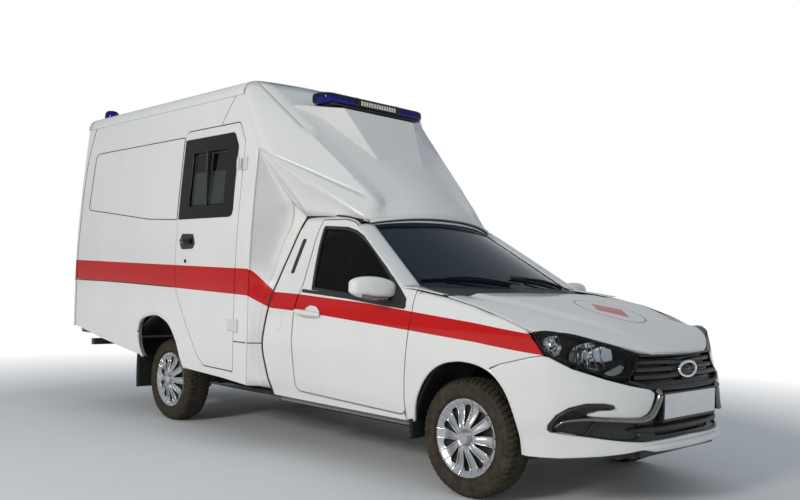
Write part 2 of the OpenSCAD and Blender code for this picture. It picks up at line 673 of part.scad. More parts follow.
// The raised wedge under the light bar.
shelf_z = body_height - 190;
module shelf() {
  rim = [[-1767, 600, shelf_z + 4], [-1559, 332, shelf_z - 2], [-1335, 203, shelf_z - 373],
         [-1767, 590, shelf_z - 30], [-1345, 190, shelf_z - 400]];
  hull_of(concat(rim, [for (p = rim) [p[0], -p[1], p[2]]]));
}
module roof_fairing() {
  color(paint) at_axle() difference() {
    union() {
      difference() {
        both_sides() fairing_half(0);
        both_sides() fairing_half(fairing_wall);
        translate([-45, 0, -30]) both_sides() fairing_half(fairing_wall + 10);
      }
      shelf();
    }
    prism_y(-b, b, slope_back);
    filled_section([for (p = cab_skin) [p[0] + 3, p[1] + 3]], body_front - 20, -1032);
  }
}
module body_front_wall() {
  wall_skin = [for (z = [380, 600, 1250, 1890]) [z, skin_at(body_skin, z) - body_wall - touch]];
  color([0.8, 0.8, 0.78]) at_axle() difference() {
    filled_section(wall_skin, body_front - 45, body_front - 10);
    block([body_front - 60, body_front], [-320, 320], [1080, 1400]);
    block([body_front - 60, body_front], [-rail_y - rail_w - 5, rail_y + rail_w + 5], [0, rail_high]);
  }
  color(paint) at_axle() both_sides() intersection() {
    prism_y(0, b, collar_outline);
    union() {
      wall_band(cab_skin, 0, cab_wall, body_front - 12, -1400);
      prism_z(300, 1190, [[body_front + touch, b - 3], [-1620, w - 2], [body_front + touch, w - 40]]);
    }
  }
}
collar_gap = 6;
collar_outline = concat([for (p = cab_joint) [p[0] - collar_gap, p[1]]],
  [[body_front - 12, 330], [body_front - 12, cab_height + 40], [-1560, cab_height]]);
door_split = 6;
rear_low = 640;
rear_top = roof_edge - 120;
module rear_frame() {
  color(paint) at_axle() difference() {
    filled_section([for (p = body_skin) if (p[0] >= 600 && p[0] <= roof_edge) p], face_x, face_x + body_wall);
    both_sides() wall_band(clip_top(body_skin, roof_edge), -1, body_wall + 1 + touch,
                           face_x - 1, face_x + body_wall + 1);
    prism_x(face_x - 1, face_x + body_wall + 1, rear_hole(body_gap));
  }
  color(paint) at_axle() both_sides() for (z = rear_hinges) {
    hinge_fixed(face_x - 8, rear_hinge_y, z, 84);
    for (s = [-28, 28])
      block([face_x - 14, face_x + 4], [rear_hinge_y, rear_hinge_y + 26], [z + s - 13, z + s + 13]);
  }
}
rear_half = b - 75 - body_wall - 30;
rear_hinge_y = rear_half + 4;
rear_hinges = [860, 1400, 2000];
function rear_hole(g) = [[-rear_half - g, rear_low - g], [rear_half + g, rear_low - g],
                         [rear_half + g, rear_top + g], [-rear_half - g, rear_top + g]];
module rear_door(side) {
  color(paint) at_axle() on_side(side) {
    difference() {
      block([face_x, face_x + body_wall], [door_split / 2, rear_half], [rear_low, rear_top]);
      block([face_x - 1, face_x + body_wall + 1], [150, rear_half - 160], [1420, 1980]);
    }
    block([face_x + 12, face_x + 12 + pane], [150, rear_half - 160], [1420, 1980]);
    for (z = rear_hinges) {
      hinge_moving(face_x - 8, rear_hinge_y, z, 84);
      difference() {
        block([face_x - 14, face_x + 1], [rear_hinge_y - 60, rear_hinge_y - 2], [z - 12, z + 12]);
        rod_z(face_x - 8, rear_hinge_y, pin_radius + 2, z - 40, z + 40);
      }
    }
  }
}
module tail_lights() {
  color("darkred") at_axle() both_sides()
    block([face_x - 12, face_x], [rear_half + 20, rear_half + 80], [1000, 1300]);
}
module mudflaps() {
  color(dark) at_axle() both_sides() block([axle_rear - 470, axle_rear - 462], [640, 830], [190, rail_high]);
}
module light_bar() {
  z = shelf_z + 18;
  color([0.05, 0.1, 0.6]) at_axle() {
    block([-1780, -1575], [-435, 435], [z, z + 84]);
    both_sides() block([-1720, -1660], [250, 290], [shelf_z + 3.2, z]);
  }
}
module rear_beacon() {
  color([0.05, 0.1, 0.6]) at_axle() translate([face_x + 254, -640, body_height - 22.3]) {
    cylinder(r = 68, h = 30);
    cylinder(r = 60, h = 95);
  }
}

chassis_frame();
front_suspension();
rear_axle();
engine_block();
fuel_tank();
exhaust();
cab_floor();
firewall();
dashboard();
cab_side(-1);  // cab_side_right
cab_side(1);  // cab_side_left
cab_roof();
cab_rear_wall();
seats();
steering_column();
windshield();
fender(-1);  // fender_right
fender(1);  // fender_left
front_bumper();
grille();
headlights();
number_plates();
body_floor();
body_side(-1);  // body_side_right
body_side(1);  // body_side_left
body_roof();
roof_fairing();
body_front_wall();
rear_frame();
tail_lights();
mudflaps();
light_bar();
rear_beacon();
hood();
cab_door(-1);  // cab_door_right
cab_door(1);  // cab_door_left
door_glass(-1);  // cab_door_glass_right
door_glass(1);  // cab_door_glass_left
side_door();
side_door_glass();
rear_door(-1);  // rear_door_right
rear_door(1);  // rear_door_left
knuckle(-1);  // knuckle_right
knuckle(1);  // knuckle_left
wheel(0, front_track, -1);  // front_wheel_right
wheel(0, front_track, 1);  // front_wheel_left
tyre(0, front_track, -1);  // front_tyre_right
tyre(0, front_track, 1);  // front_tyre_left
wheel(axle_rear, rear_track, -1);  // rear_wheel_right
wheel(axle_rear, rear_track, 1);  // rear_wheel_left
tyre(axle_rear, rear_track, -1);  // rear_tyre_right
tyre(axle_rear, rear_track, 1);  // rear_tyre_left
steering_wheel();
fuel_flap();
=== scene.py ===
import math
from contextlib import contextmanager

import bmesh
import bpy
import numpy as np
from mathutils import Matrix, Vector
from mathutils.geometry import delaunay_2d_cdt


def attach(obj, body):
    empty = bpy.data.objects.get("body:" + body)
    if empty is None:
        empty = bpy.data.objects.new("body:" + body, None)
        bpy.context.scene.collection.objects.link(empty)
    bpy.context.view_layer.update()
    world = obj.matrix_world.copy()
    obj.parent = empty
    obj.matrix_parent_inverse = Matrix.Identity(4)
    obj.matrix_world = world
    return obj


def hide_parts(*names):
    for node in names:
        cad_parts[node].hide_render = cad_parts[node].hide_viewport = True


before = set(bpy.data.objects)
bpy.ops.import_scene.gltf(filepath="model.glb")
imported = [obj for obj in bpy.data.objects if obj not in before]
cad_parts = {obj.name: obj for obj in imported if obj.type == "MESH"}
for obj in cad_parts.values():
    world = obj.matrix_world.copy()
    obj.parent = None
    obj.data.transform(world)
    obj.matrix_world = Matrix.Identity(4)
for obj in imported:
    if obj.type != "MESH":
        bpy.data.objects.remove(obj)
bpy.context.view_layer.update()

# Every place below is measured in metres from the front axle (x forward) and the ground (z up).
AXLE_X = 1.7725         # the front axle in the shared frame
W = 0.85                # half the width of the cab at its belt
B = 0.93                # half the width of the medical body
FACE_X = -4.344         # rear face of the body
BODY_FRONT = -1.744     # front edge of the body's sides
INNER_X = -1.812        # wall between the body and the cab
REAR_AXLE = -2.915
EAVE_Z = 2.299          # where the sides end and the roof's curve begins
STEP_Z = 0.656          # seam over the step
DRIVER_Y = 0.37         # middle of a seat, and of the steering wheel
GAP = 0.0045            # round the cab doors
SIDES = (("right", -1), ("left", 1))


# ---------- curves ----------
def spline(points):
    """A smooth curve through (t, value) pairs that never overshoots them."""
    t, v = np.array(points, float).T
    h, d = np.diff(t), np.diff(v) / np.diff(t)
    m = np.zeros(len(t))
    m[0], m[-1] = d[0], d[-1]
    for i in range(1, len(t) - 1):
        if d[i - 1] * d[i] > 0:
            a, b = 2 * h[i] + h[i - 1], h[i] + 2 * h[i - 1]
            m[i] = (a + b) / (a / d[i - 1] + b / d[i])

    def at(x):
        x = np.clip(x, t[0], t[-1])
        i = np.clip(np.searchsorted(t, x, side="right") - 1, 0, len(h) - 1)
        s = (x - t[i]) / h[i]
        return ((1 + 2 * s) * (1 - s) ** 2 * v[i] + s * (1 - s) ** 2 * h[i] * m[i]
                + s * s * (3 - 2 * s) * v[i + 1] + s * s * (s - 1) * h[i] * m[i + 1])
    return at


def circle(n):
    """The angles of n points round a circle."""
    return np.linspace(0, 2 * math.pi, n, endpoint=False)


def squarish(a, power_x, power_z):
    """Cosine and sine of a, drawn towards a square by powers below one."""
    ca, sa = math.cos(a), math.sin(a)
    return np.sign(ca) * abs(ca) ** power_x, np.sign(sa) * abs(sa) ** power_z


def bow(p0, p1, p2, n):
    """n points on the curve from p0 to p2 that p1 draws towards itself."""
    return [(1 - s) ** 2 * p0 + 2 * s * (1 - s) * p1 + s * s * p2 for s in np.linspace(0, 1, n)]


def on(surf, s, z):
    """One point of a surface."""
    return surf(np.array([s]), np.array([z]))[0]


def smoothstep(a, b, x):
    s = np.clip((x - a) / (b - a), 0, 1)
    return s * s * (3 - 2 * s)


def catmull(points, steps=8, closed=False):
    """Points on a smooth curve through the given points."""
    p = np.array(points, float)
    n = len(p)
    out = []
    for i in range(n if closed else n - 1):
        if closed:
            a, b, c, d = p[i - 1], p[i], p[(i + 1) % n], p[(i + 2) % n]
        else:
            b, c = p[i], p[i + 1]
            a = p[i - 1] if i else 2 * b - c
            d = p[i + 2] if i + 2 < n else 2 * c - b
        for k in range(steps):
            s = k / steps
            out.append(0.5 * (2 * b + (c - a) * s + (2 * a - 5 * b + 4 * c - d) * s * s
                              + (3 * b - 3 * c + d - a) * s ** 3))
    if not closed:
        out.append(p[-1])
    return np.array(out)


def rounded(points, radius, steps=5):
    """A closed outline with its corners rounded. A point may carry its own radius as a third number."""
    out, n = [], len(points)
    for i in range(n):
        p = np.array(points[i][:2], float)
        r = points[i][2] if len(points[i]) > 2 else radius
        a, b = np.array(points[i - 1][:2], float) - p, np.array(points[(i + 1) % n][:2], float) - p
        la, lb = np.linalg.norm(a), np.linalg.norm(b)
        a, b = a / la, b / lb
        turn = math.acos(max(-1, min(1, float(a @ b))))
        if r <= 0 or turn > math.pi - 0.02:
            out.append(p)
            continue
        reach = min(r / math.tan(turn / 2), la * 0.49, lb * 0.49)
        p0, p1 = p + a * reach, p + b * reach
        for k in range(steps + 1):
            s = k / steps
            out.append((1 - s) ** 2 * p0 + 2 * s * (1 - s) * p + s * s * p1)
    return np.array(out)


def rect(x0, x1, z0, z1, radius):
    """A rectangle with rounded corners."""
    return rounded([(x0, z0), (x1, z0), (x1, z1), (x0, z1)], radius)


def resample(loop, step):
    """The closed loop with no side longer than step; its own points stay."""
    out = []
    for a, b in zip(loop, np.roll(loop, -1, 0)):
        n = max(1, math.ceil(np.linalg.norm(b - a) / step))
        out += [a + (b - a) * k / n for k in range(n)]
    out = np.array(out)
    keep = [i for i in range(len(out)) if np.linalg.norm(out[i] - out[i - 1]) > 2e-4]
    return out[keep]


def area(loop):
    x, y = loop[:, 0], loop[:, 1]
    return 0.5 * np.sum(x * np.roll(y, -1) - np.roll(x, -1) * y)


def inward(loop):
    """Unit directions to the left of a closed loop, at its points."""
    e = np.roll(loop, -1, 0) - loop
    e /= np.linalg.norm(e, axis=1)[:, None] + 1e-12
    n = np.stack([-e[:, 1], e[:, 0]], 1)
    m = n + np.roll(n, 1, 0)
    ln = np.linalg.norm(m, axis=1)[:, None] + 1e-9
    m /= ln
    scale = 1 / np.maximum(np.sum(m * n, 1), 0.6)
    return m, scale


def ccw(loop):
    loop = np.array(loop, float)
    return loop if area(loop) > 0 else loop[::-1]


def offset(loop, d):
    """The outline drawn inward by d (outward when negative)."""
    loop = ccw(loop)
    m, k = inward(loop)
    return loop + m * (k * d)[:, None]


def inside(loop, pts):
    x, y = pts[:, 0], pts[:, 1]
    r = np.zeros(len(pts), bool)
    for (x0, y0), (x1, y1) in zip(loop, np.roll(loop, -1, 0)):
        c = (y0 > y) != (y1 > y)
        if c.any():
            r ^= c & (x < (x1 - x0) * (y - y0) / (y1 - y0 + 1e-15) + x0)
    return r


# ---------- mesh builders ----------
def finish_mesh(name, verts, faces, normals=None, mats=(), ids=None, body="root"):
    """Makes the piece from points in axle coordinates, with the normal of each face corner where given."""
    me = bpy.data.meshes.new(name)
    v = np.array(verts, float)
    v[:, 0] += AXLE_X
    me.from_pydata([tuple(p) for p in v], [], [tuple(f) for f in faces])
    for m in mats:
        me.materials.append(m)
    if ids is not None:
        me.polygons.foreach_set("material_index", np.array(ids, np.int32))
    me.polygons.foreach_set("use_smooth", [True] * len(me.polygons))
    if normals is not None:
        me.normals_split_custom_set([tuple(n) for n in normals])
    me.update()
    o = bpy.data.objects.new(name, me)
    bpy.context.scene.collection.objects.link(o)
    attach(o, body)
    return o


def panel(name, surf, outline, t, r, mat, back=None, body="root", holes=(), step=0.012, grid=0.03, out=1, lift=0.0,
          radius=None):
    """A curved panel with rounded edges.

    surf gives points for two arrays, and out tells which way its normal faces. t is the wall's thickness,
    r the radius of its edges, step and grid the spacing of points along the edge and inside it.
    """
    def place(uv):
        e = 4e-4
        u, v = uv[:, 0], uv[:, 1]
        p = surf(u, v)
        du, dv = surf(u + e, v) - surf(u - e, v), surf(u, v + e) - surf(u, v - e)
        n = np.cross(du, dv) * out
        return p, n / (np.linalg.norm(n, axis=1)[:, None] + 1e-15), du / (2 * e), dv / (2 * e)

    loops = [resample(ccw(outline), step)] + [resample(ccw(h), step)[::-1] for h in holes]
    arc = [0, 30, 60, 90] if r > 0.0012 else [0, 90]
    verts, nors, count = [], [], 0
    ring_ids, last = [], []
    for li, lp in enumerate(loops):
        m, k = inward(lp)
        rad = np.full(len(lp), r) if radius is None or li else np.array([radius(p) for p in lp])
        ids = []
        for a in [None] + arc:
            s, c = (0, 1) if a is None else (math.sin(math.radians(a)), math.cos(math.radians(a)))
            inset = rad * (1 - c)
            uv = lp + m * (k * inset)[:, None]
            p, n, du, dv = place(uv)
            tdir = -(du * m[:, :1] + dv * m[:, 1:])
            tdir -= n * np.sum(tdir * n, 1)[:, None]
            tdir /= np.linalg.norm(tdir, axis=1)[:, None] + 1e-15
            depth = np.full(len(lp), t) if a is None else rad * (1 - s)
            verts.append(p - n * (depth - lift)[:, None])
            nors.append(tdir * c + n * s)
            ids.append(np.arange(count, count + len(lp)))
            count += len(lp)
        ring_ids.append(ids)
        last.append(lp + m * (k * rad)[:, None])
    lo, hi = last[0].min(0), last[0].max(0)
    gx, gy = np.meshgrid(np.arange(lo[0] + grid * 0.5, hi[0], grid), np.arange(lo[1] + grid * 0.5, hi[1], grid))
    pts = np.stack([gx.ravel(), gy.ravel()], 1)
    ok = inside(last[0], pts)
    for lp in last[1:]:
        ok &= ~inside(lp, pts)
    pts = pts[ok]
    if len(pts):
        rim = np.concatenate(last)
        near = np.array([np.min(np.sum((rim - p) ** 2, 1)) for p in pts])
        pts = pts[near > (grid * 0.45) ** 2]
    pin, nin, _, _ = place(pts) if len(pts) else (np.zeros((0, 3)), np.zeros((0, 3)), 0, 0)
    front_ids = np.arange(count, count + len(pts))
    verts.append(pin + nin * lift)
    nors.append(nin)
    count += len(pts)
    back_ids = np.arange(count, count + len(pts))
    verts.append(pin - nin * (t - lift))
    nors.append(nin)
    V, N = np.concatenate(verts), np.concatenate(nors)
    uv2 = np.concatenate(last + [pts]) if len(pts) else np.concatenate(last)
    vid = np.concatenate([rings[-1] for rings in ring_ids] + [front_ids])
    bid = np.concatenate([rings[0] for rings in ring_ids] + [back_ids])
    edges, o = [], 0
    for lp in last:
        n = len(lp)
        edges += [(o + i, o + (i + 1) % n) for i in range(n)]
        o += n
    res = delaunay_2d_cdt([Vector(p) for p in uv2], edges, [], 0, 1e-7)
    rv, tris, orig = np.array([tuple(p) for p in res[0]]), res[2], [list(ids) for ids in res[3]]
    new = [i for i, ids in enumerate(orig) if not ids]
    if new:  # points that the triangulation added
        pn, nn, _, _ = place(rv[new])
        first = len(uv2)
        for k, i in enumerate(new):
            orig[i] = [first + k]
        uv2 = np.concatenate([uv2, rv[new]])
        vid = np.concatenate([vid, len(V) + np.arange(len(new))])
        bid = np.concatenate([bid, len(V) + len(new) + np.arange(len(new))])
        V = np.concatenate([V, pn + nn * lift, pn - nn * (t - lift)])
        N = np.concatenate([N, nn, nn])
    tri = np.array([f for f in tris if len(f) == 3])
    cen = rv[tri].mean(1)
    keep = inside(last[0], cen)
    for lp in last[1:]:
        keep &= ~inside(lp, cen)
    faces, ids, fn = [], [], []
    flip = out < 0
    for f in tri[keep]:
        o3 = [orig[i][0] for i in f]
        if len(set(o3)) < 3:
            continue
        a = uv2[o3]
        if (a[1, 0] - a[0, 0]) * (a[2, 1] - a[0, 1]) < (a[1, 1] - a[0, 1]) * (a[2, 0] - a[0, 0]):
            o3 = o3[::-1]
        q = [vid[i] for i in o3]
        q = q[::-1] if flip else q
        faces.append(q)
        ids.append(0)
        fn += [N[i] for i in q]
        if back is not None:
            turned = o3 if flip else o3[::-1]
            faces.append([bid[i] for i in turned])
            ids.append(1)
            fn += [-N[vid[i]] for i in turned]
    for rids in ring_ids:
        for k in range(len(rids) - 1):
            a, b = rids[k], rids[k + 1]
            n = len(a)
            for i in range(n):
                j = (i + 1) % n
                q = [a[i], a[j], b[j], b[i]]
                q = q[::-1] if flip else q
                faces.append(q)
                ids.append(1 if back is not None and k == 0 and t > 0.03 else 0)
                fn += [N[x] for x in q]
    return finish_mesh(name, V, faces, fn, [mat] + ([back] if back is not None else []), ids, body)


@contextmanager
def editing(o):
    """The mesh of a piece as a bmesh, written back afterwards."""
    bm = bmesh.new()
    bm.from_mesh(o.data)
    yield bm
    bm.to_mesh(o.data)
    bm.free()


def weld(o, dist=1e-5):
    with editing(o) as bm:
        bmesh.ops.remove_doubles(bm, verts=bm.verts, dist=dist)
        bmesh.ops.dissolve_degenerate(bm, edges=bm.edges, dist=1e-6)


def sharpen(o, angle):
    with editing(o) as bm:
        for e in bm.edges:
            e.smooth = not (len(e.link_faces) == 2 and e.calc_face_angle(0) > math.radians(angle))


def fix_out(o):
    with editing(o) as bm:
        bmesh.ops.recalc_face_normals(bm, faces=bm.faces)


def loft(name, rows, mat, body="root", closed=False, flip=False, thick=0.0, caps=False, sharp=None, hull=False):
    """A skin over rows of points. A hull's faces are turned outwards."""
    g = np.array(rows, float)
    m, n = g.shape[:2]
    faces = []
    for i in range(m - 1):
        for j in range(n if closed else n - 1):
            k = (j + 1) % n
            q = (i * n + j, i * n + k, (i + 1) * n + k, (i + 1) * n + j)
            faces.append(q[::-1] if flip else q)
    if caps:
        a, b = tuple(range(n)), tuple(range((m - 1) * n, m * n))
        faces += [b if not flip else b[::-1], a[::-1] if not flip else a]
    o = finish_mesh(name, g.reshape(-1, 3), faces, None, [mat], None, body)
    weld(o)
    if hull:
        fix_out(o)
    if sharp is not None:
        sharpen(o, sharp)
    if thick:
        md = o.modifiers.new("wall", "SOLIDIFY")
        md.thickness = thick
        md.offset = -1
    return o


def bevel(o, width, segments=3, angle=30):
    md = o.modifiers.new("bevel", "BEVEL")
    md.width, md.segments, md.limit_method = width, segments, "ANGLE"
    md.angle_limit = math.radians(angle)
    md.harden_normals = True
    return o


def solid(name, points, faces, mat, body="root", width=0.004, segments=3):
    """A faceted solid with rounded edges."""
    o = finish_mesh(name, points, faces, None, [mat], None, body)
    fix_out(o)
    return bevel(o, width, segments) if width else o


def box(name, x, y, z, mat, body="root", width=0.004, segments=3):
    pts = [(x[i], y[j], z[k]) for i in (0, 1) for j in (0, 1) for k in (0, 1)]
    f = [(0, 1, 3, 2), (4, 6, 7, 5), (0, 4, 5, 1), (2, 3, 7, 6), (0, 2, 6, 4), (1, 5, 7, 3)]
    return solid(name, pts, f, mat, body, width, segments)


def revolve(name, profile, centre, axis, mat, body="root", steps=64, sharp=35):
    """profile is (distance along the axis, radius) pairs."""
    a = np.array(axis, float)
    a /= np.linalg.norm(a)
    u = np.cross(a, (0, 0, 1) if abs(a[2]) < 0.9 else (1, 0, 0))
    u /= np.linalg.norm(u)
    v = np.cross(a, u)
    c = np.array(centre, float)
    ring = [2 * math.pi * k / steps for k in range(steps)]
    rows = [[c + a * d + (u * math.cos(t) + v * math.sin(t)) * max(rr, 1e-5) for t in ring] for d, rr in profile]
    return loft(name, rows, mat, body, closed=True, hull=True, sharp=sharp)


def tube(name, path, radius, mat, body="root", steps=12, flat=1.0, up=(0, 0, 1), closed=False):
    """A round or flattened bar along a path; radius may be one number or one per point."""
    p = np.array(path, float)
    n = len(p)
    rad = np.full(n, radius, float) if np.isscalar(radius) else np.array(radius, float)
    rows = []
    for i in range(n):
        if closed:
            t = p[(i + 1) % n] - p[i - 1]
        else:
            t = p[min(i + 1, n - 1)] - p[max(i - 1, 0)]
        t /= np.linalg.norm(t)
        s = np.cross(t, up)
        s /= np.linalg.norm(s) + 1e-12
        w_ = np.cross(s, t)
        rows.append([p[i] + (s * math.cos(a) + w_ * math.sin(a) * flat) * rad[i]
                     for a in circle(steps)])
    if closed:
        rows.append(rows[0])
    return loft(name, rows, mat, body, closed=True, caps=not closed, hull=True, sharp=50)


def seam(name, path, radius, mat, body="root", up=(0, 1, 0), closed=False):
    """A thin line laid on a skin."""
    tube(name, path, radius, mat, body, 6, 1, up, closed)


# ---------- materials ----------
def new_node(tree, kind, **props):
    n = tree.nodes.new(kind)
    for k, v in props.items():
        setattr(n, k, v)
    return n


class Mat:
    """A small builder of shader node trees."""

    def __init__(self, name):
        self.m = bpy.data.materials.new(name)
        self.m.use_nodes = True
        self.t = self.m.node_tree
        self.b = self.t.nodes["Principled BSDF"]
        self.co = self.t.nodes.new("ShaderNodeTexCoord").outputs["Object"]

    def node(self, kind, **props):
        return new_node(self.t, kind, **props)

    def link(self, a, b):
        self.t.links.new(a, b)

    def math(self, op, a, b=0.0, clamp=False):
        n = self.node("ShaderNodeMath", operation=op, use_clamp=clamp)
        for i, x in enumerate((a, b)):
            if isinstance(x, (int, float)):
                n.inputs[i].default_value = x
            else:
                self.link(x, n.inputs[i])
        return n.outputs[0]

    def noise(self, scale, detail=4, rough=0.55, stretch=None):
        n = self.node("ShaderNodeTexNoise")
        n.inputs["Scale"].default_value = scale
        n.inputs["Detail"].default_value = detail
        n.inputs["Roughness"].default_value = rough
        src = self.co
        if stretch:
            mp = self.node("ShaderNodeMapping")
            mp.inputs["Scale"].default_value = stretch
            self.link(src, mp.inputs[0])
            src = mp.outputs[0]
        self.link(src, n.inputs["Vector"])
        return n.outputs["Fac"]

    def range(self, x, a, b, c, d):
        n = self.node("ShaderNodeMapRange")
        for i, v in enumerate((a, b, c, d)):
            n.inputs[i + 1].default_value = v
        self.link(x, n.inputs[0])
        return n.outputs[0]

    def mix(self, fac, a, b):
        n = self.node("ShaderNodeMix", data_type="RGBA")
        for i, x in ((0, fac), (6, a), (7, b)):
            if isinstance(x, (int, float)):
                n.inputs[i].default_value = x
            elif isinstance(x, tuple):
                n.inputs[i].default_value = (*x, 1)
            else:
                self.link(x, n.inputs[i])
        return n.outputs[2]

    def bump(self, height, strength, distance=0.001):
        n = self.node("ShaderNodeBump")
        n.inputs["Strength"].default_value = strength
        n.inputs["Distance"].default_value = distance
        self.link(height, n.inputs["Height"])
        self.link(n.outputs[0], self.b.inputs["Normal"])
        return n

    def surface(self, fac, a, b):
        """Sends two shaders, mixed by fac, to the output."""
        n = self.node("ShaderNodeMixShader")
        for i, x in enumerate((fac, a.outputs[0], b.outputs[0])):
            self.link(x, n.inputs[i])
        self.link(n.outputs[0], self.t.nodes["Material Output"].inputs["Surface"])

    def color(self, x):
        if isinstance(x, tuple):
            self.b.inputs["Base Color"].default_value = (*x, 1)
        else:
            self.link(x, self.b.inputs["Base Color"])

    def set(self, **kw):
        for k, v in kw.items():
            self.b.inputs[k.replace("_", " ")].default_value = v


WHITE_LO, WHITE_HI = (0.8, 0.8, 0.785), (0.84, 0.84, 0.825)
RED_LO, RED = (0.54, 0.002, 0.003), (0.6, 0.003, 0.004)


def paint_base(m):
    """The white paint's colour, and the noise it varies with."""
    f = m.range(m.noise(2.2, 3), 0.3, 0.7, 0, 1)
    return m.mix(f, WHITE_LO, WHITE_HI), f


def paint_gloss(m, rough, coat_rough):
    m.link(m.range(m.noise(3.1, 3), 0.3, 0.7, rough - 0.03, rough + 0.04), m.b.inputs["Roughness"])
    m.set(Coat_Weight=0.25, Coat_Roughness=coat_rough, Specular_IOR_Level=0.22)


def simple(name, dark, light, rough, scale=40, metal=0.0, grain=0.0, spread=0.06, coat=0.0, spec=0.5):
    """A material whose colour and gloss vary a little over the surface."""
    m = Mat(name)
    f = m.noise(scale)
    m.color(m.mix(m.range(f, 0.3, 0.7, 0, 1), dark, light))
    m.link(m.range(m.noise(scale * 0.37), 0.3, 0.7, rough - spread, rough + spread), m.b.inputs["Roughness"])
    m.set(Metallic=metal, Specular_IOR_Level=spec)
    if coat:
        m.set(Coat_Weight=coat, Coat_Roughness=0.04)
    if grain:
        m.bump(m.noise(900, 2), grain, 0.0006)
    return m.m


def curve_fac(m, x, points):
    """Height of a broken line through (x, z) points, at the object coordinate x."""
    total = None
    for (x0, z0), (x1, z1) in zip(points, points[1:]):
        part = m.range(x, x0 + AXLE_X, x1 + AXLE_X, 0, z1 - z0)
        total = part if total is None else m.math("ADD", total, part)
    return m.math("ADD", total, points[0][1])


def paint(name, stripe=None, rough=0.16, wave=0.0):
    """White paint, with a red stripe between two broken lines where given."""
    m = Mat(name)
    base, f = paint_base(m)
    if stripe:
        sep = m.node("ShaderNodeSeparateXYZ")
        m.link(m.co, sep.inputs[0])
        x, z = sep.outputs[0], sep.outputs[2]
        top, low = curve_fac(m, x, stripe[0]), curve_fac(m, x, stripe[1])
        a = m.range(m.math("SUBTRACT", top, z), 0, 0.0008, 0, 1)
        c = m.range(m.math("SUBTRACT", z, low), 0, 0.0008, 0, 1)
        base = m.mix(m.math("MULTIPLY", a, c), base, m.mix(f, RED_LO, RED))
    m.color(base)
    paint_gloss(m, rough, 0.22 if wave else 0.03)
    if wave:
        m.bump(m.noise(1.6, 2), wave, 0.02)
    return m.m


BODY_STRIPE = ([(-4.36, 1.181), (-2.68, 1.148), (-1.745, 1.13), (-1.61, 0.996), (-1.55, 0.99)],
               [(-4.36, 1.02), (-2.68, 0.985), (-1.745, 0.958), (-1.635, 0.888), (-1.55, 0.884)])
CAB_STRIPE = ([(-1.7, 0.99), (-1.367, 0.983), (-0.682, 0.95), (-0.332, 0.92), (0.093, 0.885), (0.48, 0.838)],
              [(-1.7, 0.888), (-1.367, 0.878), (-1.077, 0.863), (-0.352, 0.82), (0.103, 0.79), (0.48, 0.748)])
M_PAINT = paint("cab_paint", CAB_STRIPE)
M_WHITE = paint("white_paint")
M_SHELL = paint("body_shell", BODY_STRIPE, rough=0.2, wave=0.12)
M_SHELLW = paint("body_shell_white", None, rough=0.2, wave=0.12)
M_BLACK = simple("black_trim", (0.012, 0.012, 0.013), (0.022, 0.022, 0.023), 0.42, 60, grain=0.15)
M_GLOSSBLACK = simple("gloss_black", (0.004, 0.004, 0.0045), (0.007, 0.007, 0.008), 0.14, 30, coat=0.12, spec=0.2)
M_RUBBER = simple("rubber_seal", (0.012, 0.012, 0.012), (0.024, 0.023, 0.022), 0.62, 90, grain=0.2)
M_TYRE = simple("tyre_rubber", (0.034, 0.028, 0.021), (0.07, 0.058, 0.043), 0.8, 26, grain=0.35, spec=0.15)
M_CHROME = simple("chrome", (0.72, 0.73, 0.74), (0.82, 0.83, 0.84), 0.09, 30, metal=1.0, spread=0.03)
M_DARKCHROME = simple("dark_chrome", (0.2, 0.19, 0.18), (0.28, 0.27, 0.25), 0.16, 30, metal=1.0, spread=0.04)
M_SILVER = simple("silver_cover", (0.5, 0.505, 0.515), (0.6, 0.605, 0.615), 0.27, 7, metal=0.85, spread=0.05,
                  coat=0.5)
M_RIB = simple("bright_rib", (0.66, 0.665, 0.67), (0.76, 0.765, 0.77), 0.2, 30, metal=0.9, coat=0.5)
M_STEEL = simple("dark_steel", (0.03, 0.03, 0.032), (0.075, 0.072, 0.068), 0.55, 22, metal=0.4, grain=0.2)
M_CAST = simple("cast_metal", (0.16, 0.16, 0.16), (0.26, 0.25, 0.24), 0.6, 35, metal=0.7, grain=0.4)
M_EXHAUST = simple("exhaust_steel", (0.22, 0.2, 0.18), (0.4, 0.37, 0.34), 0.45, 18, metal=0.9, grain=0.2)
M_GREY = simple("inner_grey", (0.3, 0.3, 0.3), (0.36, 0.36, 0.36), 0.5, 30, grain=0.15)
M_INNER = simple("cabin_plastic", (0.03, 0.03, 0.033), (0.048, 0.048, 0.052), 0.55, 50, grain=0.35)
M_DOORIN = simple("door_lining", (0.09, 0.09, 0.095), (0.13, 0.13, 0.135), 0.6, 40, grain=0.3)
M_FLOORM = simple("floor_mat", (0.16, 0.165, 0.17), (0.24, 0.245, 0.25), 0.6, 160, grain=0.4)
M_PLATE = simple("plate_white", (0.74, 0.75, 0.76), (0.8, 0.81, 0.82), 0.3, 12, coat=0.3)
M_REDLAMP = simple("red_lamp", (0.3, 0.006, 0.006), (0.5, 0.015, 0.012), 0.1, 25, coat=1.0)
M_AMBER = simple("amber_lamp", (0.75, 0.22, 0.02), (0.85, 0.32, 0.03), 0.15, 25, coat=1.0)
M_HINGE = simple("hinge_white", (0.66, 0.66, 0.65), (0.74, 0.74, 0.73), 0.3, 30, coat=0.3)
M_LED = simple("led_lens", (0.62, 0.6, 0.52), (0.85, 0.83, 0.74), 0.25, 300, coat=0.4)


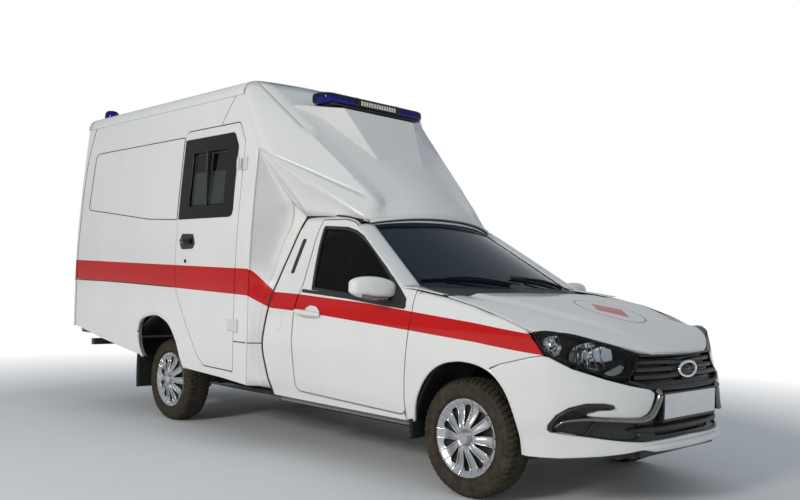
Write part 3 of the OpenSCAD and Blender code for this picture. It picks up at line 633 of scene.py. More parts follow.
def fabric(name, a, b):
    m = Mat(name)
    wv = m.node("ShaderNodeTexWave")
    wv.inputs["Scale"].default_value = 260
    m.link(m.co, wv.inputs["Vector"])
    m.color(m.mix(m.math("MULTIPLY", wv.outputs["Fac"], m.noise(30), True), a, b))
    m.set(Roughness=0.85, Sheen_Weight=0.25)
    m.bump(wv.outputs["Fac"], 0.4, 0.0008)
    return m.m


M_FABRIC = fabric("seat_fabric", (0.035, 0.036, 0.042), (0.075, 0.077, 0.088))


def glass(name, tint, see, rough=0.02, base=None):
    """Tinted glass: a clear part to see through and a glossy coat."""
    m = Mat(name)
    tr = m.node("ShaderNodeBsdfTransparent")
    f = m.range(m.noise(5), 0.3, 0.7, 0.95, 1.05)
    m.link(m.mix(f, tuple(c * 0.94 for c in tint), tint), tr.inputs["Color"])
    m.color(base or tuple(c * 0.08 for c in tint))
    m.set(Roughness=rough, Coat_Weight=0.5, Coat_Roughness=0.02)
    fr = m.node("ShaderNodeFresnel")
    fr.inputs["IOR"].default_value = 1.5
    k = m.math("ADD", m.math("MULTIPLY", fr.outputs[0], 1.1), 1 - see, True)
    m.surface(k, tr, m.b)
    return m.m


M_WINDSHIELD = glass("windshield_glass", (0.1, 0.2, 0.31), 0.72, base=(0.012, 0.032, 0.06))
M_GLASS = glass("side_glass", (0.34, 0.37, 0.38), 0.93)
M_PRIVACY = glass("privacy_glass", (0.035, 0.04, 0.045), 0.6)
M_FROST = glass("frosted_glass", (0.2, 0.22, 0.23), 0.25, 0.45, base=(0.02, 0.024, 0.026))
M_LENS = glass("lamp_lens", (0.93, 0.95, 0.96), 0.93)
M_BLUE = glass("blue_lens", (0.02, 0.1, 0.95), 0.62, 0.06)
M_BLUEIN = simple("blue_inner", (0.1, 0.2, 0.85), (0.35, 0.5, 0.95), 0.2, 60)


RING_X, RING_R, RING_HALF, PAINT_EDGE, SQUARE_R = 0.325, 0.19, 0.005, 0.0006, 0.122


def ring_paint():
    """White enamel with the red ring and plain mark on the hood, drawn from distances in the hood's plan."""
    m = Mat("hood_paint")
    base, _ = paint_base(m)
    sep = m.node("ShaderNodeSeparateXYZ")
    m.link(m.co, sep.inputs[0])
    x = m.math("SUBTRACT", sep.outputs[0], AXLE_X + RING_X)
    y = sep.outputs[1]
    r2 = m.math("SQRT", m.math("ADD", m.math("MULTIPLY", x, x), m.math("MULTIPLY", y, y)))
    off_ring = m.math("ABSOLUTE", m.math("SUBTRACT", r2, RING_R))
    ring = m.math("SUBTRACT", 1.0, m.range(off_ring, RING_HALF, RING_HALF + PAINT_EDGE, 0, 1))
    # a plain square on its point
    d = m.math("ADD", m.math("ABSOLUTE", x), m.math("ABSOLUTE", y))
    mark = m.math("SUBTRACT", 1.0, m.range(d, SQUARE_R, SQUARE_R + 0.001, 0, 1))
    m.color(m.mix(m.math("MAXIMUM", ring, mark), base, (0.6, 0.02, 0.04)))
    paint_gloss(m, 0.16, 0.03)
    return m.m


M_HOOD = ring_paint()

# ---------- the cab's skin ----------
cab_half = spline([(0.23, W - 0.056), (0.335, W - 0.048), (0.45, W - 0.018), (0.56, W - 0.006), (0.7, W + 0.004),
                   (0.82, W + 0.004), (0.9, W), (0.96, W - 0.008), (1.02, W - 0.026), (1.1, W - 0.058),
                   (1.25, W - 0.125), (1.38, W - 0.188), (1.42, W - 0.212), (1.455, W - 0.232), (1.478, W - 0.25),
                   (1.5, W - 0.27)])
nose_back = spline([(0.22, 0.06), (0.26, 0.022), (0.3, 0.002), (0.345, 0.004), (0.4, 0.012), (0.455, 0.006),
                    (0.57, 0.0), (0.62, 0.012), (0.68, 0.034), (0.75, 0.054), (0.8, 0.08), (0.9, 0.16)])
NOSE_X = 0.808
plan_pts = [(-1.75, 0.848), (-1.3, 0.854), (-0.8, 0.858), (-0.3, 0.859), (0.1, 0.853), (0.29, 0.828), (0.4, 0.795),
             (0.5, 0.745), (0.62, 0.64), (0.71, 0.51), (0.77, 0.37), (0.8, 0.2), (NOSE_X, 0.0)][::-1]
plan = catmull([(2 * NOSE_X - 0.8, -0.2)] + plan_pts, 24)[24:]
plan[0] = (NOSE_X, 0.0)
plan_s = np.concatenate([[0], np.cumsum(np.linalg.norm(np.diff(plan, axis=0), axis=1))])
plan_dir = np.gradient(plan, plan_s, axis=0)
plan_dir[0] = (0, 1)


def nose(side):
    """The cab's outer skin round one side and the front: s runs along the plan from the middle of the nose."""
    def surf(s, z):
        a = np.abs(s)
        sg = np.where(s < 0, -1.0, 1.0) * side
        x, y = np.interp(a, plan_s, plan[:, 0]), np.interp(a, plan_s, plan[:, 1])
        tx, ty = np.interp(a, plan_s, plan_dir[:, 0]), np.interp(a, plan_s, plan_dir[:, 1])
        ln = np.hypot(tx, ty)
        nx, ny = ty / ln, -tx / ln
        k = smoothstep(0.42, 0.8, y)
        inset = (W + 0.004 - cab_half(z)) * k + nose_back(z) * (1 - k)
        return np.stack([x - nx * inset, sg * (y - ny * inset), z + 0 * s], -1)
    return surf


F = nose(1)


def s_at(x, z):
    """The plan length at which the skin has this x."""
    lo, hi = 0.0, plan_s[-1]
    for _ in range(5):
        s = np.linspace(lo, hi, 21)
        i = int(np.argmax(F(s, np.full(21, z))[:, 0] <= x)) or 20
        lo, hi = s[i - 1], s[i]
    return (lo + hi) / 2


def xz(points):
    """Outline points given as x and z, turned into plan length and z. A third number passes through."""
    return [(s_at(p[0], p[1]), p[1], *p[2:]) for p in points]


def skin_y(x, z):
    """Half the cab's width at this x and height."""
    return float(on(F, s_at(x, z), z)[1])


def on_skin(sg, x, z, lift):
    """A point that stands off the cab's side by lift."""
    return (x, sg * (skin_y(x, z) + lift), z)


# ---------- cab: doors, sides and fenders ----------
DOOR = rounded([(-0.405, 0.366, 0.05), (-0.392, 0.56, 0.4), (-0.368, 0.777, 0.3), (-0.343, 0.927, 0.08),
                (-0.341, 0.985, 0.05), (-0.338, 1.034, 0.006), (-0.44, 1.043, 0.01), (-0.76, 1.245, 0.3),
                (-1.0, 1.396, 0.25), (-1.07, 1.432, 0.2), (-1.16, 1.448, 0.2), (-1.386, 1.453, 0.02),
                (-1.372, 1.33, 0.3), (-1.35, 1.228, 0.3), (-1.32, 1.04, 0.2), (-1.362, 0.873, 0.3),
                (-1.376, 0.7, 0.4), (-1.352, 0.392, 0.05)], 0.05)
WINDOW = rounded([(-0.397, 0.948, 0.015), (-0.397, 0.985, 0.03), (-0.452, 1.03, 0.1), (-0.627, 1.155, 0.3),
                  (-0.811, 1.28, 0.4), (-0.926, 1.343, 0.3), (-1.015, 1.38, 0.15), (-1.115, 1.403, 0.15),
                  (-1.352, 1.416, 0.012), (-1.315, 1.272, 0.3), (-1.23, 1.012, 0.015), (-0.872, 0.984, 0.3),
                  (-0.657, 0.966, 0.3)], 0.03)
FENDER = rounded([(-0.4, 0.335, 0.01), (-0.399, 0.366, 0.03), (-0.386, 0.56, 0.4), (-0.362, 0.777, 0.3),
                  (-0.337, 0.927, 0.08), (-0.335, 0.985, 0.05), (-0.332, 1.038, 0.004), (-0.29, 1.034, 0.1),
                  (-0.135, 1.013, 0.3), (0.05, 0.975, 0.3), (0.22, 0.924, 0.3), (0.372, 0.864, 0.006),
                  (0.424, 0.802, 0.05), (0.455, 0.752, 0.004), (0.387, 0.7364, 0.2), (0.301, 0.7114, 0.2),
                  (0.247, 0.6964, 0.1), (0.1855, 0.67, 0.002)], 0.02)
ARCH = catmull([(0.337, 0.262), (0.337, 0.287), (0.326, 0.41), (0.307, 0.49), (0.277, 0.563), (0.233, 0.624),
                (0.183, 0.662), (0.118, 0.685), (0.048, 0.694), (-0.022, 0.692), (-0.107, 0.674), (-0.182, 0.636),
                (-0.247, 0.575), (-0.3, 0.49), (-0.333, 0.402), (-0.347, 0.35)], 4)
ARCH_SPLIT = int(np.argmin(np.abs(ARCH[:, 0] - 0.183) + np.abs(ARCH[:, 1] - 0.662)))
fender_loop = [tuple(p) for p in FENDER] + [tuple(p) for p in ARCH[ARCH_SPLIT:]] + [(-0.35, 0.335)]
JOINT = catmull([(-1.609, 0.337), (-1.649, 0.483), (-1.684, 0.655), (-1.628, 0.892), (-1.594, 1.035), (-1.586, 1.12),
                 (-1.576, 1.262), (-1.574, 1.393), (-1.566, 1.462)], 5)
door_hole = offset(DOOR, -GAP)
# the cab side is a hook round the door: over it, behind it and under it
hole = ccw(door_hole)
i0 = int(np.argmin(np.hypot(hole[:, 0] + 1.045, hole[:, 1] - 1.425)))
i1 = int(np.argmin(np.hypot(hole[:, 0] + 0.405, hole[:, 1] - 0.362)))
hook = [tuple(p) for p in (hole[i0:i1 + 1] if i1 > i0 else np.concatenate([hole[i0:], hole[:i1 + 1]]))]
cab_side = hook + [(-0.404, 0.335), (-1.609, 0.335)] + [tuple(p) for p in JOINT[1:]]
cab_side += [(-1.545, 1.472), (-1.46, 1.477), (-1.3, 1.475), (-1.17, 1.465), (-1.085, 1.449), (-1.035, 1.432)]


HOUSE_GROW = 1.035  # the wheel house over the arch


def top_radius(p):
    """The fender's top edge turns over softly towards the hood."""
    x, z = float(on(F, p[0], p[1])[0]), p[1]
    top = np.interp(x, [-0.44, -0.29, -0.135, 0.05, 0.22, 0.372], [1.049, 1.034, 1.013, 0.975, 0.922, 0.862])
    on_top = smoothstep(0.02, 0.004, top - z) * smoothstep(-0.4, -0.3, x) * smoothstep(0.28, 0.16, x)
    return 0.004 + 0.03 * float(on_top)


for name, sg in SIDES:
    S = nose(sg)
    door = f"cab_door_{name}"
    panel(f"door_skin_{name}", S, xz(DOOR), 0.046, 0.004, M_PAINT, M_DOORIN, door, holes=[xz(WINDOW)], out=sg)
    inner = offset(WINDOW, 0.018)
    panel(f"window_seal_{name}", S, xz(offset(WINDOW, 0.0005)), 0.02, 0.002, M_RUBBER, None, door, holes=[xz(inner)],
          out=sg, lift=-0.004)
    panel(f"door_glass_{name}", S, xz(offset(WINDOW, 0.01)), 0.004, 0.001, M_GLASS, None, door, out=sg,
          lift=-0.014, grid=0.06)
    belt = [(-1.316, 0.994), (-0.872, 0.968), (-0.657, 0.949), (-0.4, 0.93), (-0.386, 0.95), (-0.4, 0.958),
            (-0.657, 0.97), (-0.872, 0.988), (-1.312, 1.014)]
    panel(f"belt_strip_{name}", S, xz(rounded(belt, 0.006)), 0.012, 0.003, M_BLACK, None, door, out=sg,
          lift=0.003)
    sail = rounded([(-0.392, 0.944), (-0.392, 0.985), (-0.45, 1.034), (-0.56, 1.113), (-0.6, 1.06),
                    (-0.6, 0.962)], 0.01)
    panel(f"mirror_sail_{name}", S, xz(sail), 0.02, 0.004, M_BLACK, None, door, out=sg, lift=0.002)
    hand = rounded([(-1.262, 0.848, 0.03), (-1.254, 0.895, 0.03), (-1.21, 0.918, 0.03), (-1.15, 0.913, 0.03),
                    (-1.108, 0.88, 0.03), (-1.125, 0.838, 0.03), (-1.2, 0.828, 0.04)], 0.03)
    panel(f"handle_recess_{name}", S, xz(hand), 0.004, 0.0018, M_WHITE, None, door, out=sg, lift=0.0012)
    pull = []
    for k in np.linspace(0, 1, 13):
        x, rise = -1.338 + 0.236 * k, 0.026 * math.sin(math.pi * k) ** 0.5 + 0.006
        pull.append((x, sg * (skin_y(x, 0.872) + rise), 0.879 - 0.014 * k))
    girth = [0.008 + 0.01 * math.sin(math.pi * (0.08 + 0.84 * k)) ** 0.6 for k in np.linspace(0, 1, 13)]
    tube(f"door_pull_{name}", pull, girth, M_WHITE, door, 14, 1.2, (0, sg, 0.2))
    # sides, fenders
    panel(f"cab_side_skin_{name}", S, xz(cab_side), 0.03, 0.004, M_PAINT, M_GREY, holes=[xz(door_hole)], out=sg)
    panel(f"fender_skin_{name}", S, xz(fender_loop), 0.02, 0.004, M_PAINT, out=sg,
          radius=top_radius)
    tube(f"arch_lip_{name}", [on_skin(sg, x, z, -0.005) for x, z in ARCH[2:]], 0.008, M_PAINT, steps=10)
    vent = rounded([(-1.5, 1.33), (-1.489, 1.107), (-1.458, 1.107), (-1.466, 1.33)], 0.012)
    panel(f"pillar_vent_{name}", S, xz(vent), 0.012, 0.003, M_BLACK, out=sg, lift=0.005, grid=0.012)
    # black sheet 50 mm under the skin behind the door's front gap: painted shade for the jamb seen through the gap
    jamb = [(-0.44, 0.37), (-0.36, 0.37), (-0.3, 1.0), (-0.3, 1.03), (-0.4, 1.03)]
    panel(f"shaded_jamb_sheet_{name}", S, xz(jamb), 0.004, 0.001, M_BLACK, out=sg, lift=-0.05)
    # fender shoulder between the door line, the windshield corner and the hood
    shoulder = []
    for t in np.linspace(0, 1, 18):
        px = -0.444 + 0.296 * t
        pz = float(np.interp(px, [-0.444, -0.335, -0.29, -0.135], [1.043, 1.04, 1.034, 1.013]))
        p0 = np.array((px, skin_y(px, pz) - 0.004, pz - 0.001))
        q0 = np.array((-0.446 + 0.298 * t, 0.7 + 0.082 * smoothstep(0, 1, t) ** 0.8, 1.052 - 0.0395 * t))
        m0 = (p0 + q0) / 2 + np.array((0, 0.008, 0.006))
        shoulder.append([p * (1, sg, 1) for p in bow(p0, m0, q0, 8)])
    loft(f"fender_shoulder_{name}", shoulder, M_WHITE, flip=sg > 0, thick=0.004)
    seal = catmull([(x - 0.006, z) for x, z in JOINT[::5]], 6)
    tube(f"joint_seal_{name}", [on_skin(sg, x, z, -0.004) for x, z in seal], 0.0085, M_RUBBER, steps=8)
    # wheel house and the small flap behind the wheel
    rows = []
    for x, z in ARCH[2:]:
        hx, hz = x * HOUSE_GROW, 0.33 + (z - 0.33) * HOUSE_GROW
        edge_y = min(0.795, skin_y(x, z) - 0.014)
        rows.append([(hx, sg * y, hz) for y in (0.45, 0.55, 0.65, edge_y - 0.04, edge_y)])
    loft(f"wheel_house_{name}", rows, M_BLACK, thick=0.003)
    flap_rows = [[(-0.352 + 0.006 * k, sg * y, 0.352 - 0.105 * k) for y in np.linspace(0.69, 0.835, 6)]
                 for k in np.linspace(0, 1, 6)]
    loft(f"front_flap_{name}", flap_rows, M_RUBBER, thick=0.005)

# fuel flap: a round lid let into the side
FLAP_X, FLAP_Z, FLAP_R = -1.545, 0.815, 0.07
flap = [(FLAP_X + FLAP_R * math.cos(a), FLAP_Z + FLAP_R * math.sin(a)) for a in circle(48)]
panel("flap_lid", nose(-1), xz(flap), 0.006, 0.002, M_PAINT, M_WHITE, "fuel_flap", out=-1, lift=0.0035, step=0.02)

# mirrors
for name, sg in SIDES:
    rows = []
    for k in np.linspace(0, 1, 15):
        y = W - 0.03 + 0.262 * k
        e = math.sin(math.pi * min(1, 0.12 + 0.84 * k)) ** 0.36
        hz, hx = 0.066 * e + 0.006, (0.05 + 0.018 * (1 - k)) * e + 0.004
        cx, cz = -0.556 - 0.02 * k, 1.022 + 0.014 * k
        row = []
        for a in circle(32):
            ca, sa = squarish(a, 0.6, 0.62)
            front = hx * (1.15 if ca > 0 else 0.55)
            high = hz * (1.0 if sa > 0 else 0.56 + 0.1 * k)
            row.append((cx + front * ca, sg * y, cz + high * sa))
        rows.append(row)
    door = f"cab_door_{name}"
    loft(f"mirror_cap_{name}", rows, M_WHITE, door, closed=True, caps=True, hull=True)
    glass_rows = []
    for k in np.linspace(0, 1, 13):
        half = 0.047 * math.sin(math.pi * (0.12 + 0.8 * k)) ** 0.4
        glass_rows.append([(-0.592 - 0.012 * k, sg * (W - 0.005 + 0.205 * k), 1.03 + j * half)
                           for j in np.linspace(-1, 1, 7)])
    loft(f"mirror_glass_{name}", glass_rows, M_CHROME, door, flip=sg > 0, thick=0.003)
    base = [(-0.535, sg * (W - 0.045), 0.992), (-0.54, sg * (W - 0.01), 0.988), (-0.548, sg * (W + 0.03), 0.99),
            (-0.556, sg * (W + 0.075), 0.996)]
    tube(f"mirror_arm_{name}", catmull(base, 4), 0.018, M_BLACK, door, 12, 0.8)
    under = [(-0.503, sg * (W + 0.036), 0.982), (-0.508, sg * (W + 0.11), 0.981), (-0.525, sg * (W + 0.188), 0.994)]
    tube(f"mirror_trim_{name}", catmull(under, 6), 0.013, M_DARKCHROME, door, 10, 0.7)

# pillars beside the windshield, windshield, cowl
WS_LOW, WS_HIGH = np.array((-0.44, 1.049)), np.array((-1.013, 1.411))
along = WS_HIGH - WS_LOW
ws_len = float(np.linalg.norm(along))
along /= ws_len
lift_dir = np.array((-along[1], along[0])) * -1
if lift_dir[1] < 0:
    lift_dir = -lift_dir
HALF_LOW, HALF_HIGH = 0.7, 0.53  # half its width at the foot and at the top
DROP_LOW, DROP_HIGH = 0.155, 0.072  # how far the middle of those edges hangs


def pane_point(y, d, sink=0.0):
    """A point of the windshield: y across, d the distance up it; it curves more towards its top."""
    k = min(1.0, max(0.0, d / ws_len))
    half = HALF_LOW + (HALF_HIGH - HALF_LOW) * k
    bend = 2.6 - 0.94 * k
    bulge = math.sqrt(bend ** 2 - min(y * y, 1.0)) - math.sqrt(bend ** 2 - half ** 2) - sink
    q = WS_LOW + along * d + lift_dir * bulge
    return (q[0], y, q[1])


for name, sg in SIDES:
    rows = []
    for k in np.linspace(0, 1, 26):
        d = ws_len * k
        q = WS_LOW + along * d
        px, pz = q[0] - 0.004, q[1] - 0.004
        side_p = np.array((px, sg * skin_y(px, pz), pz))
        half = HALF_LOW + (HALF_HIGH - HALF_LOW) * k
        edge = np.array(pane_point(sg * (half - 0.004), d, -0.004))
        corner = side_p * 0.45 + edge * 0.55 + np.array((0.006, 0, 0.012))
        rows.append(bow(side_p, corner, edge, 9))
    loft(f"front_pillar_{name}", rows, M_WHITE, flip=sg < 0, thick=0.004)
rows = []
for d in np.linspace(-0.02, ws_len + 0.02, 22):
    k = min(1, max(0, d / ws_len))
    half = HALF_LOW + (HALF_HIGH - HALF_LOW) * k
    drop = DROP_LOW * (1 - k) ** 3 + DROP_HIGH * k ** 3
    rows.append([pane_point(y, d - drop * (1 - (y / half) ** 2)) for y in np.linspace(-half, half, 41)])
loft("windshield_glass", rows, M_WINDSHIELD, thick=0.005)
frame_top = [[pane_point(y, ws_len - DROP_HIGH * (1 - (y / HALF_HIGH) ** 2) + e, -0.002)
              for y in np.linspace(-0.525, 0.525, 31)] for e in (-0.006, 0.003)]
loft("windshield_band", frame_top, M_RUBBER, thick=0.003)

# cowl between the windshield and the hood
cowl = []
for y in np.linspace(-HALF_LOW, HALF_LOW, 41):
    k = 1 - (y / HALF_LOW) ** 2
    p0 = np.array(pane_point(y, 0.01 - DROP_LOW * k, -0.001))
    p2 = np.array((-0.16 - 0.012 * (1 - k), y, 0.992 + 0.01 * k))
    p1 = (p0 + p2) / 2 + np.array((0, 0, -0.014))
    cowl.append(bow(p0, p1, p2, 8))
loft("cowl", cowl, M_BLACK, flip=True, thick=0.004)
for name, y0, y1, d0, d1 in (("long", -0.05, -0.62, -0.105, 0.055), ("short", 0.55, 0.02, -0.06, -0.04)):
    root_p = np.array(pane_point(y0, d0 - 0.035, -0.028))
    tip_p = np.array(pane_point(y1, d1 - 0.01, -0.022))
    mid = np.array(pane_point((y0 + y1) / 2, (d0 + d1) / 2 - 0.02, -0.03))
    tube(f"wiper_arm_{name}", catmull([root_p, mid, mid * 0.4 + tip_p * 0.6], 5), 0.0075, M_BLACK, "root", 8, 0.7)
    blade = [pane_point(y1 + (y0 - y1) * (k - 0.06), d1 + (d0 - d1) * k, -0.012) for k in np.linspace(0, 1, 11)]
    tube(f"wiper_blade_{name}", blade, 0.0085, M_RUBBER, "root", 8, 1.3)

# ---------- hood ----------
hood_mid = spline([(-0.15, 1.022), (0.06, 1.002), (0.25, 0.966), (0.45, 0.91), (0.6, 0.858), (0.69, 0.816),
                   (0.735, 0.789), (0.764, 0.767)])
hood_side_z = spline([(-0.15, 1.011), (0.05, 0.972), (0.22, 0.92), (0.372, 0.866), (0.47, 0.862), (0.56, 0.842),
                      (0.65, 0.808), (0.715, 0.778), (0.765, 0.765)])
hood_side_y = spline([(-0.15, 0.782), (0.05, 0.795), (0.22, 0.778), (0.372, 0.742), (0.47, 0.69), (0.56, 0.6),
                      (0.65, 0.472), (0.715, 0.338), (0.765, 0.25)])


def hood(x, y):
    edge = hood_side_y(x)
    k = np.abs(y) / edge
    z = hood_mid(x) - (hood_mid(x) - hood_side_z(x)) * np.clip(k, 0, 1.2) ** 2.6
    ridge = 0.56 - 0.26 * smoothstep(-0.15, 0.72, x)
    z = z + 0.009 * smoothstep(ridge + 0.05, ridge - 0.012, np.abs(y)) * smoothstep(0.74, 0.5, x)
    z = z - 0.004 * np.exp(-((np.abs(y) - ridge - 0.075) / 0.035) ** 2) * smoothstep(0.66, 0.4, x)
    return np.stack([x, y, z], -1)


half_loop = [(x, float(hood_side_y(x))) for x in np.linspace(-0.148, 0.715, 24)]
half_loop += [(0.742, 0.27), (0.756, 0.18), (0.762, 0.09), (0.763, 0.0)]
hood_loop = np.array(half_loop + [(x, -y) for x, y in half_loop[-2::-1]])
panel("hood_skin", hood, hood_loop, 0.018, 0.007, M_HOOD, M_GREY, "hood", grid=0.022)

# ---------- the front: one skin carries bumper, lamps and grille ----------
def both(points):
    """A half outline from the middle outwards and back, mirrored into a whole one."""
    p = [tuple(q) for q in points]
    return p + [(-q[0], *q[1:]) for q in p[::-1] if abs(q[0]) > 1e-6]


bump_arch = [(s_at(x, z), z) for x, z in ARCH[1:ARCH_SPLIT + 1]]
HALF_BUMPER = ([(0.0, 0.322), (0.3, 0.32), (0.42, 0.308), (0.6, 0.284), (0.8, 0.266), (0.98, 0.262)]
               + bump_arch + [(s_at(x, z), z) for x, z in ((0.247, 0.694), (0.301, 0.709), (0.387, 0.734))]
               + [(0.9, 0.748), (0.868, 0.742), (0.84, 0.729), (0.76, 0.692), (0.59, 0.646), (0.465, 0.618),
                  (0.345, 0.598)]
               + [(0.318, 0.58), (0.322, 0.55), (0.345, 0.5), (0.368, 0.478), (0.41, 0.464)]
               + [(0.5, 0.465), (0.62, 0.469), (0.7, 0.474)]
               + [(0.62, 0.5), (0.56, 0.503), (0.548, 0.524), (0.6, 0.533), (0.69, 0.532), (0.77, 0.51),
                  (0.83, 0.472), (0.868, 0.424), (0.874, 0.398), (0.855, 0.386)]
               + [(0.78, 0.379), (0.66, 0.372), (0.49, 0.357), (0.365, 0.348), (0.2, 0.352), (0.0, 0.358)])


def ahead(s, z, dx, dz=0.0):
    """A point of the nose moved by dx and dz."""
    return on(F, s, z) + np.array((dx, 0, dz))


def along_front(s_end, z, dx, n, dz=0.0):
    """Points across the nose at the height z, which may be a function of s."""
    return [ahead(s, z(s) if callable(z) else z, dx, dz) for s in np.linspace(-s_end, s_end, n)]


panel("bumper_skin", F, rounded(both(HALF_BUMPER), 0.014, 4), 0.026, 0.007, M_WHITE, grid=0.022, step=0.014)
# black mask behind the bumper's openings: grille surround, lower mesh and fog recesses
mask = both([(0.0, 0.345), (0.36, 0.338), (0.66, 0.36), (0.88, 0.372), (0.9, 0.45), (0.8, 0.53), (0.56, 0.56),
             (0.36, 0.61), (0.3, 0.63), (0.0, 0.64)])
plate_hole = rounded([(-0.27, 0.375), (0.27, 0.375), (0.3, 0.44), (-0.3, 0.44)], 0.012)
panel("front_mask", F, rounded(mask, 0.012, 4), 0.012, 0.003, M_BLACK, holes=[plate_hole], lift=-0.026)
for i in range(4):
    tube(f"lower_mesh_bar_{i}", along_front(0.29, 0.38 + 0.018 * i, -0.04, 25), 0.0042, M_BLACK, steps=8)
for i in range(25):
    s = -0.288 + 0.024 * i
    seam(f"lower_mesh_post_{i}", [ahead(s, z, -0.042) for z in (0.372, 0.444)], 0.003, M_BLACK, up=(1, 0, 0))
# lower white lip and a dark strip over it
tube("lower_lip", along_front(0.4, 0.33, 0.004, 41, -0.01),
     [0.019 * min(1, (0.42 - abs(s)) / 0.1) for s in np.linspace(-0.4, 0.4, 41)], M_WHITE, steps=14)
bar_s = np.linspace(-0.46, 0.46, 41)
tube("air_bar", [ahead(s, 0.405, -(0.006 + 0.02 * abs(s))) for s in bar_s],
     [0.013 if abs(s) < 0.34 else 0.013 * (0.47 - abs(s)) / 0.13 + 0.002 for s in bar_s], M_BLACK, "root", 12, 1.2)
def at_skin(surf, s, z, sink):
    """A point under a surface of the nose by sink, and the level direction out of it."""
    p = on(surf, s, z)
    q = on(surf, s + 1e-3, z) - p
    n = np.array((q[1], -q[0], 0.0))
    n /= np.linalg.norm(n)
    if n[0] < 0:
        n = -n
    return p - n * sink, n


# dark chrome bows beside the plate, and the fog lamps' recesses
for name, sg in SIDES:
    Ss = nose(sg)
    pts = [(0.318, 0.596), (0.3, 0.585), (0.296, 0.562), (0.318, 0.512), (0.345, 0.476), (0.385, 0.458),
           (0.44, 0.454), (0.56, 0.459), (0.66, 0.462), (0.74, 0.456), (0.8, 0.444), (0.835, 0.42)]
    path = [on(Ss, s, z) + np.array((0.004, 0, 0)) for s, z in catmull(pts, 5)]
    rad = np.interp(np.linspace(0, 1, len(path)), [0, 0.08, 0.4, 0.6, 1], [0.008, 0.019, 0.021, 0.016, 0.007])
    tube(f"front_bright_{name}", path, rad, M_DARKCHROME, "root", 12, 0.8)
    pts = [(0.556, 0.516), (0.6, 0.524), (0.69, 0.522), (0.765, 0.5), (0.822, 0.464), (0.856, 0.42),
           (0.858, 0.398)]
    path = [on(Ss, s, z) for s, z in catmull(pts, 5)]
    tube(f"fog_frame_{name}", path, 0.0105, M_BLACK, "root", 10, 0.8)
    # recess of the fog lamp: a tray that narrows inwards
    ring0 = [(0.855, 0.405), (0.82, 0.455), (0.76, 0.485), (0.66, 0.462), (0.5, 0.455), (0.42, 0.43), (0.4, 0.375),
             (0.49, 0.362), (0.66, 0.376), (0.8, 0.386)]
    c0 = np.mean(ring0, 0)
    rows = []
    for k, sh in ((0.0, 1.03), (0.028, 0.97), (0.052, 0.78), (0.056, 0.0)):
        row = []
        for s, z in catmull(ring0, 4, True):
            s, z = c0 + (np.array((s, z)) - c0) * sh
            row.append(at_skin(Ss, s, z, k + 0.012)[0])
        rows.append(row)
    loft(f"fog_tray_{name}", rows, M_BLACK, closed=True, flip=sg < 0)
    rib = [on(Ss, 0.62 + 0.05 * k, 0.455 - 0.075 * k) - np.array((0.018, 0, 0)) for k in np.linspace(0, 1, 6)]
    tube(f"fog_rib_{name}", rib, 0.004, M_BLACK, steps=8)

# grille: a black face with three rounded bars that widen to the emblem ring
def grille_face(sink):
    def surf(s, z):
        p = F(s, z)
        p[..., 0] -= sink
        return p
    return surf


grille_loop = both([(0.0, 0.6), (0.29, 0.604), (0.37, 0.612), (0.44, 0.634), (0.435, 0.668), (0.395, 0.71),
                    (0.368, 0.762), (0.2, 0.752), (0.0, 0.748)])
chin = both([(0.0, 0.586), (0.3, 0.59), (0.36, 0.602), (0.5, 0.64), (0.44, 0.64), (0.37, 0.62), (0.29, 0.614),
             (0.0, 0.612)])
panel("grille_back", grille_face(0.034), rounded(grille_loop, 0.02, 4), 0.01, 0.003, M_GLOSSBLACK)
panel("grille_chin", grille_face(-0.002), rounded(chin, 0.01, 4), 0.03, 0.008, M_BLACK)
EMBLEM_Z = 0.68
for i, (zc, reach) in enumerate(((0.648, 0.412), (0.683, 0.4), (0.718, 0.378))):
    rows = []
    for s in np.linspace(-reach, reach, 61):
        k = math.exp(-(s / 0.1) ** 2)
        z = zc + (EMBLEM_Z - zc) * 0.55 * k
        h = 0.0148 + 0.012 * k
        d = 0.02 + 0.014 * k
        base = ahead(s, z, -0.03)
        rows.append([base + np.array((d * math.cos(a) * (1.0 if math.cos(a) > 0 else 0.2), 0, h * math.sin(a)))
                     for a in circle(16)])
    loft(f"grille_bar_{i}", rows, M_BLACK, closed=True, caps=True, hull=True)
tube("grille_top", along_front(0.37, lambda s: 0.752 + 0.01 * abs(s), -0.01, 41, -0.002), 0.009, M_BLACK, steps=10)
front_x = float(on(F, 0.0, EMBLEM_Z)[0])
ring = [(front_x + 0.008 - 0.002 * math.cos(2 * a), 0.086 * math.cos(a), EMBLEM_Z + 0.037 * math.sin(a))
        for a in circle(48)]
tube("emblem_ring", ring, 0.008, M_CHROME, "root", 12, 1.0, (1, 0, 0), True)
dome = [[(front_x - 0.004 + 0.01 * (1 - k * k), 0.082 * k * math.cos(a), EMBLEM_Z + 0.034 * k * math.sin(a))
         for a in circle(40)] for k in (0.001, 0.25, 0.5, 0.75, 1.0)]
loft("emblem_blank", dome, M_GLOSSBLACK, closed=True, hull=True)

# plates: blank, on a black carrier
box("front_plate_carrier", (0.768, 0.802), (-0.268, 0.268), (0.436, 0.58), M_BLACK, "root", 0.006)
box("front_plate", (0.8, 0.8045), (-0.26, 0.26), (0.452, 0.57), M_PLATE, "root", 0.0015)
box("rear_plate", (FACE_X - 0.008, FACE_X - 0.003), (-0.26, 0.26), (0.52, 0.628), M_PLATE, "root", 0.0015)

